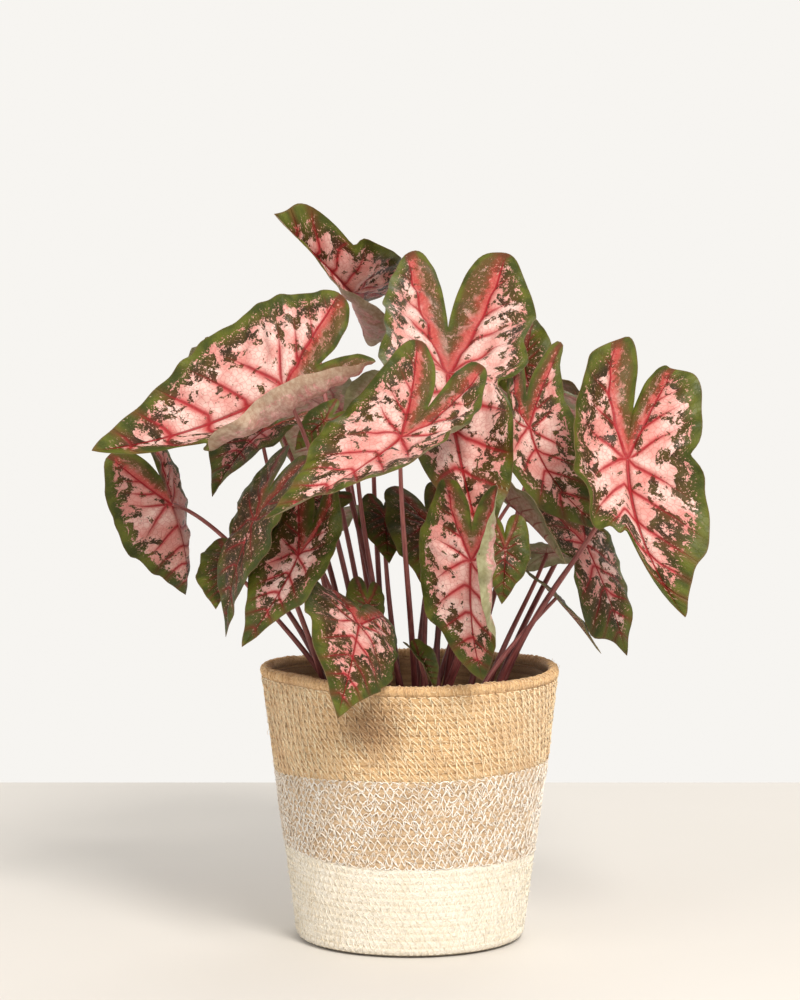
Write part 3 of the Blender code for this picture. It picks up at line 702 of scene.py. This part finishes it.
def rib_fields(angles, shares, phase):
    """Where each blade point lies between the veins, in midrib lengths."""
    points = flat_place(angles, shares)
    x, y = points.T
    side = np.abs(x)
    shift = np.where(x > 0, 0.02, -0.03) + 0.012 * np.sin(9 * y + phase)
    easing = np.clip(side / 0.04, 0, 1)
    lateral = (y - 0.62 * side - 0.5 * side ** 2 - shift * easing) / LATERAL_SPACING
    q = side * BASAL[0] - y * BASAL[1]
    basal = side * BASAL[1] + y * BASAL[0] - 0.14 * q * (0.72 - q)
    lobe = 0.39 * side + 0.92 * y + 0.5 * basal ** 2 - 0.01 * np.sin(14 * side + phase)
    lobe = -lobe / LOBE_SPACING
    edge = flat_place(np.linspace(-180, 180, 1441))
    margin = np.empty(len(points))
    for i in range(0, len(points), 500):
        gap = points[i:i + 500, None] - edge[None]
        margin[i:i + 500] = np.sqrt((gap ** 2).sum(-1).min(1))
    margin[shares >= 1] = 0
    return x, y, side, lateral, lobe, basal, margin


def relief(side, y, lateral, lobe, basal, margin, size):
    """Height in millimetres of the quilting between veins, with the veins sunk."""
    phase = np.where(y - 0.62 * side > 0, lateral, lobe)
    quilt = 0.5 - 0.5 * np.cos(2 * math.pi * phase)
    fade = np.clip(side / 0.06, 0, 1) * np.clip(margin / 0.05, 0, 1)
    groove = np.exp(-(side / 0.016) ** 2) * (y > 0)
    groove = np.maximum(groove, np.exp(-(basal / 0.018) ** 2) * (y < 0))
    return (0.011 * quilt * fade - 0.009 * groove * np.clip(margin / 0.05, 0, 1)) * size


def crumple(x, y, phase):
    """Height in millimetres of soft irregular dents and humps over a blade."""
    total = np.zeros_like(x)
    waves = ((34, 0.4, 0.7), (27, 1.7, 0.6), (21, 2.6, 0.5), (15, 0.9, 0.3))
    for wavelength, heading, depth in waves:
        ahead, aside = math.cos(heading + phase), math.sin(heading + phase)
        across = (x * ahead + y * aside) / wavelength
        along = (y * ahead - x * aside) / wavelength
        wave = np.sin(2 * math.pi * across + phase) * np.cos(1.3 * math.pi * along + 2 * phase)
        total += depth * wave
    return total


def ruffle(angles, phase):
    """Waves of a blade's margin, uneven in height, that fade at the sinus."""
    turn = np.radians(angles)
    waves = 0.6 * np.sin(9 * turn + phase) + 0.5 * np.sin(13 * turn + 2.3 * phase)
    waves = waves * (1 + 0.6 * np.sin(3 * turn + 1.9 * phase)) + 0.25 * np.sin(23 * turn + 3.1 * phase)
    return waves * np.clip((180 - np.abs(angles)) / 30, 0, 1)


def limited(value, limits):
    """A number as a whole one within limits."""
    return int(np.clip(round(value), *limits))


def make_leaf(index, leaf, materials):
    """A blade with its stem, its points made in rings round the top of the stem."""
    _, size = blade_frame(leaf)
    around = outline_angles(4 * limited(size * POINTS_PER_MM / 4, QUARTER_POINTS))
    rows = limited(size / ROW_WIDTH, ROWS)
    count = len(around)
    ring_shares = np.linspace(0, 1, rows + 1)[1:] ** 0.92
    angles = np.concatenate(([0.0], np.tile(around, rows)))
    shares = np.concatenate(([0.0], np.repeat(ring_shares, count)))
    phase = 1.7 * index
    uneven = ruffle(angles * 0.8, 1.3 * phase + 0.5) * np.clip(np.abs(angles) / 12, 0, 1)
    points = blade_points(leaf, angles, shares * (1 + RAGGEDNESS * uneven * shares ** 3))
    faces = fan(0, 1, count) + ring_faces(1, rows, count, turned=True)
    x, y, side, lateral, lobe, basal, margin = rib_fields(angles, shares, phase)
    height = relief(side, y, lateral, lobe, basal, margin, size)
    height += crumple(x * size, y * size, phase) * np.clip(side / 0.08, 0, 1)
    height += WAVINESS * size * ruffle(angles, phase) * shares ** 4
    points = points + point_normals(points, faces) * height[:, None]
    thick = THICKNESS * np.clip(margin / 0.03, 0.45, 1)
    lower = points - point_normals(points, faces) * thick[:, None]
    n = len(points)
    under = [tuple(v + n for v in f[::-1]) for f in faces]
    rim = 1 + (rows - 1) * count
    edge = []
    for j in range(count):
        k = (j + 1) % count
        edge.append((rim + j, rim + j + n, rim + k + n, rim + k))

    line = stem_points(leaf, STEM_RINGS)
    share = np.linspace(0, 1, len(line))
    foot = 1.12 - 0.12 * np.clip(share * 6, 0, 1)
    stem, stem_faces = tube(line, leaf.stem * foot * (1 - share) + STEM_TOP_RADIUS * share, STEM_SIDES)
    stem_faces = [tuple(v + 2 * n for v in f) for f in stem_faces]
    length = np.linalg.norm(np.diff(line, axis=0), axis=1).sum()
    turn = np.linspace(0, 2 * math.pi, STEM_SIDES, endpoint=False)
    turn = np.concatenate((np.tile(turn, len(line)), (0, 0)))
    rise = np.concatenate((np.repeat(share, STEM_SIDES), (0, 1)))

    seed = 41.0 * index
    place = np.stack((x * size, y * size, np.full(n, seed)), -1)
    stem_place = np.stack((turn * 2, rise * length, np.full(len(stem), seed)), -1)
    ribs = np.stack((side, lateral, lobe), -1)
    hub = np.stack((basal, y, margin * size), -1)
    stem_ribs = np.stack((rise, rise * 0, rise * 0), -1)
    key = leaf.name[5:7]
    mood = (GREENS.get(key, USUAL_GREEN) - 0.5, REDS.get(key, USUAL_RED), PINK_BELOW.get(key, 0))
    attributes = dict(
        place=np.concatenate((place, place, stem_place)),
        ribs=np.concatenate((ribs, ribs, stem_ribs)),
        hub=np.concatenate((hub, hub, stem_ribs)),
        mood=np.tile(mood, (2 * n + len(stem), 1)),
    )
    groups = (faces, under, edge, stem_faces)
    indices = np.repeat(range(len(groups)), [len(group) for group in groups])
    every = faces + under + edge + stem_faces
    points = np.concatenate((points, lower, stem))
    obj = make_piece(leaf.name + "_fine", points, every, attributes, materials, indices)
    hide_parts(leaf.name)


# Basket
def basket_radius(z):
    z = np.asarray(z, float)
    radius = FOOT_RADIUS + (RIM_RADIUS - FOOT_RADIUS) * z / BASKET_HEIGHT
    below = np.clip(FOOT_ROUNDING - z, 0, FOOT_ROUNDING)
    return radius - (FOOT_ROUNDING - np.sqrt(FOOT_ROUNDING ** 2 - below ** 2))


def basket_place(turn, radius, z):
    """Points of the basket at angles and radii, with its soft unevenness and dent."""
    turned = (np.degrees(turn) - DENT_ANGLE + 180) % 360 - 180
    high = np.clip(z / BASKET_HEIGHT, 0, 1)
    press = DENT_DEPTH * np.exp(-(turned / DENT_SPREAD) ** 2) * high ** 3
    uneven = 0.55 * np.sin(3 * turn + z / 37) + 0.4 * np.sin(5 * turn - z / 23 + 1.1)
    uneven = uneven * np.clip(z / 30, 0, 1)
    r = radius - press + uneven * (radius > 40)
    sag = 0.7 * high ** 4 * (np.sin(2 * turn + 0.7) + 0.6 * np.sin(5 * turn))
    return np.stack((r * np.cos(turn), r * np.sin(turn), z + sag - 0.9 * high ** 4), -1)


def base_line(turn):
    return np.full_like(turn, 2.2)


def to_side(cosine):
    """Share that grows from the middle of the basket to one side of it."""
    return np.clip(cosine, 0, 1) ** 2


def cream_line(turn):
    """Top of the cream band, which rises to the left."""
    return CREAM_TOP + 4.5 * to_side(-np.cos(turn))


def stitched_line(turn):
    """Top of the stitched band, which falls to the left and rises to the right."""
    return STITCHED_TOP - 4.0 * to_side(-np.cos(turn)) + 3.0 * to_side(np.cos(turn))


def rim_line(turn):
    return np.full_like(turn, BASKET_HEIGHT - 6.5)


# How a band's threads are laid: the zigzags round it, how far along its top points lie, how far
# each row starts after the one below, how many coils high it is, its unevenness, how far its
# strokes stand out going up and coming down, how unevenly they sink, and each strand's radius
Weave = namedtuple("Weave", "stitches skew drift reach jitter lift return_lift sinking radii")

# A band's lines at its foot and top, its coils, the name and the dark, light, painted groove shade
# and inside colours of its yarn, the name and the dark and light colours of its thread, and the name,
# number, lowest and highest place and length of its loose fibres
Band = namedtuple("Band", "name slot bottom top coils weave yarn thread fibres")
BANDS = (
    Band("basket_band_cream", "cream_jute", base_line, cream_line, 12,
         Weave(110, 0.45, 0.37, 1.1, 0.16, 0.05, -0.05, 0.16, (0.3, 0.22)),
         ("cream_yarn", (242, 230, 208), (255, 249, 238), (230, 212, 182), (176, 154, 120)),
         ("cream_thread", (243, 229, 203), (255, 250, 238)),
         ("cream_fibres", 700, 3, 58, 4.0)),
    Band("basket_band_stitched", "stitched_jute", cream_line, stitched_line, 13,
         Weave(102, 0.35, 0.43, 1.05, 0.2, 0.5, 0.0, 0.3, (0.48, 0.26)),
         ("brown_yarn", (180, 146, 110), (236, 206, 168), (132, 102, 72), (120, 96, 70)),
         ("white_thread", (230, 212, 188), (255, 252, 246)),
         ("white_fibres", 900, 57, 115, 4.0)),
    Band("basket_band_natural", "natural_jute", stitched_line, rim_line, 11,
         Weave(92, -0.2, -0.2, 1.6, 0.1, 0.55, -0.2, 0.2, (0.5, 0.34)),
         ("golden_yarn", (184, 142, 94), (241, 203, 153), (140, 100, 62), (128, 94, 62)),
         ("golden_thread", (228, 188, 140), (255, 238, 202)),
         ("natural_fibres", 1400, 110, 174, 6.0)),
)
# Stretch, detail and roughness of the yarn's streaks, fibres, blots and fuzz
YARN_NOISES = (
    ((0.5, 6.0, 0.0), 4.0, 0.65), ((1.2, 16.0, 0.0), 3.0, 0.7),
    ((0.035, 0.3, 0.0), 3.0, 0.6), ((1.6, 9.0, 0.0), 2.0, 0.6),
)
RIM_THREAD = ("rim_thread", (192, 152, 108), (234, 200, 152))
RIM_STITCHES = 170
# Where on the rim's roll its three rows of stitches start and end, and how they slant
RIM_ROWS = ((-60, 45, -0.4), (-20, 80, 0.5), (40, 135, -0.5))


def coil_surface(band, turn, rows):
    """Radius and height of the outer side at a number of coils up a band."""
    low, high = band.bottom(turn), band.top(turn)
    z = low + (high - low) * rows / band.coils
    return basket_radius(z) - COIL_RELIEF * (1 - coil_curve(rows - np.floor(rows))), z


def coil_curve(part):
    """How far a round coil stands out, part of the way up it."""
    return np.sqrt(np.clip(1 - (2 * part - 1) ** 2 * 0.96, 0, 1))


def level(turn, radius, z, row):
    """Radius, height and row of a level ring of points."""
    return np.full_like(turn, radius), np.full_like(turn, z), row


def band_wall(band, turn):
    """Rings of points up the outer side of a band, over the rim and down its inner side."""
    rings = []
    last = band.coils - 1e-6
    for row in np.linspace(0, band.coils, band.coils * OUTER_RINGS + 1):
        radius, z = coil_surface(band, turn, np.full_like(turn, min(row, last)))
        rings.append((radius, z, row))
    if band.top is rim_line:
        for a in np.linspace(-60, 240, 19):
            radius = RIM_MIDDLE + RIM_COIL * math.cos(math.radians(a))
            z = RIM_HEIGHT + RIM_COIL * math.sin(math.radians(a))
            rings.append(level(turn, radius, z, band.coils + 0.2 + (a + 60) / 300))
    for row in np.linspace(band.coils, 0, band.coils * INNER_RINGS + 1):
        shown = min(row, last)
        z = band.bottom(turn) + (band.top(turn) - band.bottom(turn)) * shown / band.coils
        if band.bottom is base_line:
            z = np.maximum(z, BASKET_FLOOR + 0.4)
        radius = basket_radius(z) - BASKET_WALL + 0.9 - 0.9 * coil_curve(shown % 1)
        rings.append((radius, z, row + INSIDE_ROW))
    return rings


def coil_hump(radius):
    return BASE_RELIEF * abs(math.sin(radius * math.pi / BASE_PITCH))


def make_band(band, material):
    turn = np.linspace(0, 2 * math.pi, TURNS, endpoint=False)
    rings = band_wall(band, turn)
    wall = len(rings)
    if band.bottom is base_line:
        for r in np.linspace(64, 3, 30):
            rings.append(level(turn, r, BASKET_FLOOR - BASE_RELIEF + coil_hump(r), FLOOR_ROW + r / 6))
        wall = len(rings)
        for r in np.linspace(3, 67, 54):
            rings.append(level(turn, r, BASE_RELIEF - coil_hump(r), UNDER_ROW + r / 6))
        rings.append(level(turn, 69.2, 1.0, 103))
    points = np.concatenate([basket_place(turn, radius, z) for radius, z, _ in rings])
    weave = [np.stack((turn * 90, np.full_like(turn, row), z), -1) for _, z, row in rings]
    faces = ring_faces(0, wall, TURNS) + ring_faces(wall * TURNS, len(rings) - wall, TURNS)
    start = (len(rings) - 1) * TURNS
    faces += [(start + j, start + (j + 1) % TURNS, (j + 1) % TURNS, j) for j in range(TURNS)]
    if band.bottom is base_line:
        centres = [(0, 0, BASKET_FLOOR - 0.4), (0, 0, 0.6)]
        faces += fan(len(points), (wall - 1) * TURNS, TURNS)
        faces += fan(len(points) + 1, wall * TURNS, TURNS, turned=True)
        points = np.concatenate((points, centres))
        weave.append([(0, FLOOR_ROW, centre[2]) for centre in centres])
    attributes = dict(weave=np.concatenate(weave))
    obj = make_piece(band.name + "_fine", points, faces, attributes, [material], sharp=0)
    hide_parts(band.name)


def zigzag(band, row):
    """Line of a zigzag thread that joins a coil to the one above it."""
    weave = band.weave
    step = 2 * math.pi / weave.stitches
    tooth = np.arange(weave.stitches) + weave.drift * row
    low = (tooth + RANDOM.normal(0, weave.jitter, weave.stitches)) * step
    high = (tooth + weave.skew + RANDOM.normal(0, weave.jitter, weave.stitches)) * step
    following = np.roll(low, -1)
    following[-1] += 2 * math.pi
    half = weave.reach / 2
    turns = np.stack((low, (low + high) / 2, high, (high + following) / 2), -1).ravel()
    rows = np.tile((row + 1 - half, row + 1, row + 1 + half, row + 1), weave.stitches)
    lifts = np.tile((0.2, weave.lift, 0.2, weave.return_lift), weave.stitches)
    rows = np.clip(rows + RANDOM.normal(0, weave.jitter * 0.8, len(rows)), 0, band.coils - 1e-3)
    radius, z = coil_surface(band, turns, rows)
    radius = radius + lifts + RANDOM.normal(0, weave.sinking, len(rows))
    return basket_place(turns, radius, z)


def ring_tube(line, radius, sides):
    """Points and faces of a tube along a closed line round the basket."""
    tangents = np.roll(line, -1, axis=0) - np.roll(line, 1, axis=0)
    tangents /= np.linalg.norm(tangents, axis=1, keepdims=True)
    out = line * (1, 1, 0)
    out = out - (out * tangents).sum(1, keepdims=True) * tangents
    out /= np.linalg.norm(out, axis=1, keepdims=True)
    other = np.cross(tangents, out)
    angles = np.linspace(0, 2 * math.pi, sides, endpoint=False) + math.pi / 4
    rings = line[:, None] + radius * (
        np.cos(angles)[None, :, None] * out[:, None] + np.sin(angles)[None, :, None] * other[:, None])
    count = len(line)
    index = np.arange(count * sides).reshape(count, sides)
    after = np.roll(index, -1, axis=0)
    faces = np.stack((index, np.roll(index, -1, axis=1), np.roll(after, -1, axis=1), after), -1)
    return rings.reshape(-1, 3), faces.reshape(-1, 4)


def fibre_piece(name, parts, material):
    """One piece of many tubes, each given by its points and faces."""
    faces = []
    start = 0
    for made, some in parts:
        faces += [tuple(int(v) + start for v in f) for f in some]
        start += len(made)
    points = np.concatenate([made for made, _ in parts])
    obj = make_piece(name, points, faces, dict(weave=points), [material], sharp=0)


def make_threads(band, material):
    parts = []
    for row in range(-1, band.coils):
        for radius in band.weave.radii:
            parts.append(ring_tube(zigzag(band, row), radius, 4))
    fibre_piece(band.name + "_stitches", parts, material)


def make_rim_threads(material):
    """Ragged stitches that bind the rim, one way outside and the other way on top."""
    parts = []
    for start, end, slant in RIM_ROWS:
        for tooth in range(RIM_STITCHES):
            a = np.radians(np.linspace(start, end, 5) + RANDOM.normal(0, 9))
            turn = tooth + RANDOM.normal(0, 0.25) + np.linspace(0, slant, 5) + RANDOM.normal(0, 0.05, 5)
            reach = RIM_COIL + RANDOM.normal(0.1, 0.2)
            radius = RIM_MIDDLE + reach * np.cos(a)
            z = RIM_HEIGHT + reach * np.sin(a)
            line = basket_place(turn * 2 * math.pi / RIM_STITCHES, radius, z)
            parts.append(tube(line, (0.2, 0.5, 0.6, 0.5, 0.2), 4))
    fibre_piece("basket_rim_binding", parts, material)


def make_fibres(band, material):
    """Fine ends of fibre that stand out of the basket's side."""
    name, count, low, high, longest = band.fibres
    parts = []
    for _ in range(count):
        turn = RANDOM.uniform(0, 2 * math.pi)
        z = RANDOM.uniform(low, high)
        radius = float(basket_radius(z)) - 0.5
        way = RANDOM.normal(0, 1, 3)
        out = np.array((math.cos(turn), math.sin(turn), 0))
        start = basket_place(np.array([turn]), np.array([radius]), np.array([z]))[0]
        along = np.array((-math.sin(turn), math.cos(turn), 0)) * RANDOM.choice((-1, 1))
        length = RANDOM.uniform(0.3, 1.0) * longest
        t = np.linspace(0, 1, 5)[:, None]
        line = start + along * length * t + out * (1.3 * np.sin(t * 2.6) * RANDOM.uniform(0.5, 1.4))
        line = line + np.array((0, 0, 1)) * t * way[0] * 0.35 * length + way * 0.25 * t
        parts.append(tube(line, [FIBRE_RADIUS] * 5, 3))
    fibre_piece(name, parts, material)


def finish_fibre(finish, colour, streaks, relief_height, distance, strength):
    """Dull and slightly fuzzy surface of yarn and thread."""
    finish.bump(relief_height, distance, strength)
    finish.set(Base_Color=colour, Roughness=streaks.ramp(0.2, 0.8, 0.82, 0.95), Specular_IOR_Level=0.2,
               Sheen_Weight=0.25, Sheen_Roughness=0.5)
    return finish.material


def jute(name, *colours):
    """Yarn laid round the basket, with painted shade in the grooves between its coils."""
    dark, light, groove, inside = (rgb(*colour) for colour in colours)
    finish = Finish(name)
    weave = finish.attribute("weave")
    _, row, _ = finish.parts(weave)
    streaks, fibres, blots, fuzz = (
        finish.noise(finish.stretched(weave, by), 1.0, detail, roughness)
        for by, detail, roughness in YARN_NOISES)
    colour = finish.mix(streaks.ramp(0.3, 0.7), dark, light)
    colour = finish.mix(fibres.ramp(0.35, 0.7) * 0.5, colour, light)
    colour = finish.mix(blots.ramp(0.42, 0.66) * 0.4, colour, dark)
    # painted shade in the grooves between coils
    colour = finish.mix((row.to_line() + (fuzz - 0.5) * 0.5).ramp(0.2, 0.0) * 0.5, colour, groove)
    # painted shadow of the front leaf, with some dirt, on the yarn below it
    colour = finish.shadow_and_stain(colour, rgb(112, 76, 46), 0.75)
    colour = finish.mix(row.ramp(INSIDE_ROW - 1, INSIDE_ROW - 0.1) * 0.75, colour, inside)
    return finish_fibre(finish, colour, streaks, streaks * 0.8 + fibres * 0.6, 0.9, 1.0)


def thread(name, dark, light):
    """Stitching thread, paler and duller in turns."""
    finish = Finish(name)
    place = finish.attribute("weave")
    streaks = finish.noise(place, 0.9, 3.0, 0.6)
    blots = finish.noise(place, 0.05, 3.0)
    colour = finish.mix(streaks.ramp(0.3, 0.62), rgb(*dark), rgb(*light))
    colour = finish.mix(blots.ramp(0.42, 0.66) * 0.55, colour, rgb(*dark))
    # painted shadow of the front leaf, with some dirt, on the thread below it
    colour = finish.shadow_and_stain(colour, rgb(150, 108, 68), 0.8)
    return finish_fibre(finish, colour, streaks, streaks, 0.4, 0.9)


def soil_mix():
    finish = Finish("potting_soil")
    place = finish.attribute("weave")
    lumps = finish.noise(place, 0.22, 5.0, 0.68)
    grain = finish.noise(place, 1.4, 4.0, 0.7)
    colour = finish.mix(lumps.ramp(0.3, 0.7), rgb(30, 20, 15), rgb(70, 50, 38))
    colour = finish.mix(grain.ramp(0.45, 0.75) * 0.5, colour, rgb(98, 74, 56))
    colour = finish.mix(grain.ramp(0.74, 0.8) * 0.6, colour, rgb(190, 176, 156))
    finish.set(Base_Color=colour, Roughness=grain.ramp(0.2, 0.8, 0.85, 1.0), Specular_IOR_Level=0.15)
    finish.bump(lumps * 1.2 + grain * 0.8, 1.6, 1.0)
    return finish.material


def pot_plastic():
    finish = Finish("pot_plastic")
    dust = finish.noise(finish.object_place(), 40.0, 4.0, 0.6)
    scuff = finish.noise(finish.object_place(), 380.0, 2.0, 0.6)
    colour = finish.mix(dust.ramp(0.45, 0.75) * 0.5, rgb(24, 24, 25), rgb(66, 60, 54))
    finish.set(Base_Color=colour, Roughness=scuff.ramp(0.2, 0.8, 0.42, 0.66))
    finish.bump(scuff, 0.08, 0.6)
    return finish.material


def make_soil(material):
    """Lumpy crowned top on a plain filling."""
    turn = np.linspace(0, 2 * math.pi, SOIL_SIDES, endpoint=False)
    rings = []
    for share in np.linspace(0, 1, SOIL_RINGS + 1)[1:]:
        radius = SOIL_RADIUS * share
        x, y = radius * np.cos(turn), radius * np.sin(turn)
        lump = np.sin(x * 0.31 + 1.3 * np.sin(y * 0.23)) * np.sin(y * 0.37 + 0.9 * np.sin(x * 0.19))
        lump = lump + 0.5 * np.sin(x * 0.83 + y * 0.41) * np.sin(y * 0.71 - x * 0.29)
        lump = (lump + RANDOM.normal(0, 0.28, SOIL_SIDES)) * 1.1 * (1 - share ** 8)
        rings.append(np.stack((x, y, soil_height(radius, 0) + lump - SOIL_SINK), -1))
    foot = (SOIL_FOOT_RADIUS * np.cos(turn), SOIL_FOOT_RADIUS * np.sin(turn), turn * 0 + SOIL_BOTTOM)
    rings.append(np.stack(foot, -1))
    points = np.concatenate(rings + [[(0, 0, soil_height(0, 0) - SOIL_SINK), (0, 0, SOIL_BOTTOM)]])
    ends = len(rings) * SOIL_SIDES
    faces = ring_faces(0, len(rings), SOIL_SIDES, turned=True)
    faces += fan(ends, 0, SOIL_SIDES) + fan(ends + 1, ends - SOIL_SIDES, SOIL_SIDES, turned=True)
    obj = make_piece("soil_fine", points, faces, dict(weave=points), [material])
    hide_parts("soil")


def make_basket():
    yarns = [jute(*band.yarn) for band in BANDS]
    threads = [thread(*band.thread) for band in BANDS]
    for band, yarn, stitching in zip(BANDS, yarns, threads):
        make_band(band, yarn)
        make_threads(band, stitching)
    make_rim_threads(thread(*RIM_THREAD))
    for band, stitching in zip(BANDS[::-1], threads[::-1]):
        make_fibres(band, stitching)


def make_leaves():
    materials = [upper_leaf(), under_leaf(), leaf_edge(), stem_skin()]
    for index, leaf in enumerate(LEAVES):
        make_leaf(index, leaf, materials)


# Stage
def make_stage():
    """A pale table top, whose back edge shows faintly behind the basket."""
    finish = Finish("floor")
    tone = finish.noise(finish.object_place(), 3.0, 3.0)
    colour = finish.mix(tone, rgb(217, 213, 208), rgb(212, 208, 202))
    finish.set(Base_Color=colour, Roughness=0.75, Specular_IOR_Level=0.2)
    mesh = bpy.data.meshes.new("floor")
    x, y = TABLE_HALVES
    mesh.from_pydata([(-x, -y, 0), (x, -y, 0), (x, y, 0), (-x, y, 0)], [], [(0, 1, 2, 3)])
    mesh.materials.append(finish.material)
    add_object("floor", mesh)


def add_light(name, place, target, size, power, colour):
    light = bpy.data.lights.new(name, "AREA")
    light.shape = "DISK"
    light.size = size
    light.energy = power
    light.color = colour
    obj = add_object(name, light)
    obj.location = place
    x, y, z = (end - start for start, end in zip(place, target))
    obj.rotation_euler = (math.atan2(math.hypot(x, y), -z), 0, math.atan2(y, x) - math.pi / 2)


def make_light():
    world = bpy.data.worlds.new("studio")
    bpy.context.scene.world = world
    world.use_nodes = True
    tree = world.node_tree
    back = tree.nodes["Background"]
    back.inputs["Color"].default_value = (1.0, 0.98, 0.945, 1)
    height = new_node(tree, "SeparateXYZ", {0: new_node(tree, "TexCoord", {}, "Generated")}, 2)
    plug(back.inputs["Strength"], height.ramp(0.3, 0.75, WALL_GLOW, CEILING_GLOW))
    for light in LIGHTS:
        add_light(*light)
    view = bpy.context.scene.view_settings
    view.view_transform = "Standard"
    view.look = "None"


def make_camera():
    camera = bpy.data.cameras.new("camera")
    camera.lens = CAMERA_LENS
    camera.sensor_width = 36
    camera.sensor_fit = "AUTO"
    camera.clip_end = 100
    obj = add_object("camera", camera)
    obj.location = CAMERA_PLACE
    obj.rotation_euler = (math.radians(90 - CAMERA_PITCH), 0, 0)
    bpy.context.scene.camera = obj


make_camera()
make_light()
make_stage()
make_leaves()
make_basket()
make_soil(soil_mix())
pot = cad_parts["nursery_pot"]
pot.data.materials.clear()
pot.data.materials.append(pot_plastic())
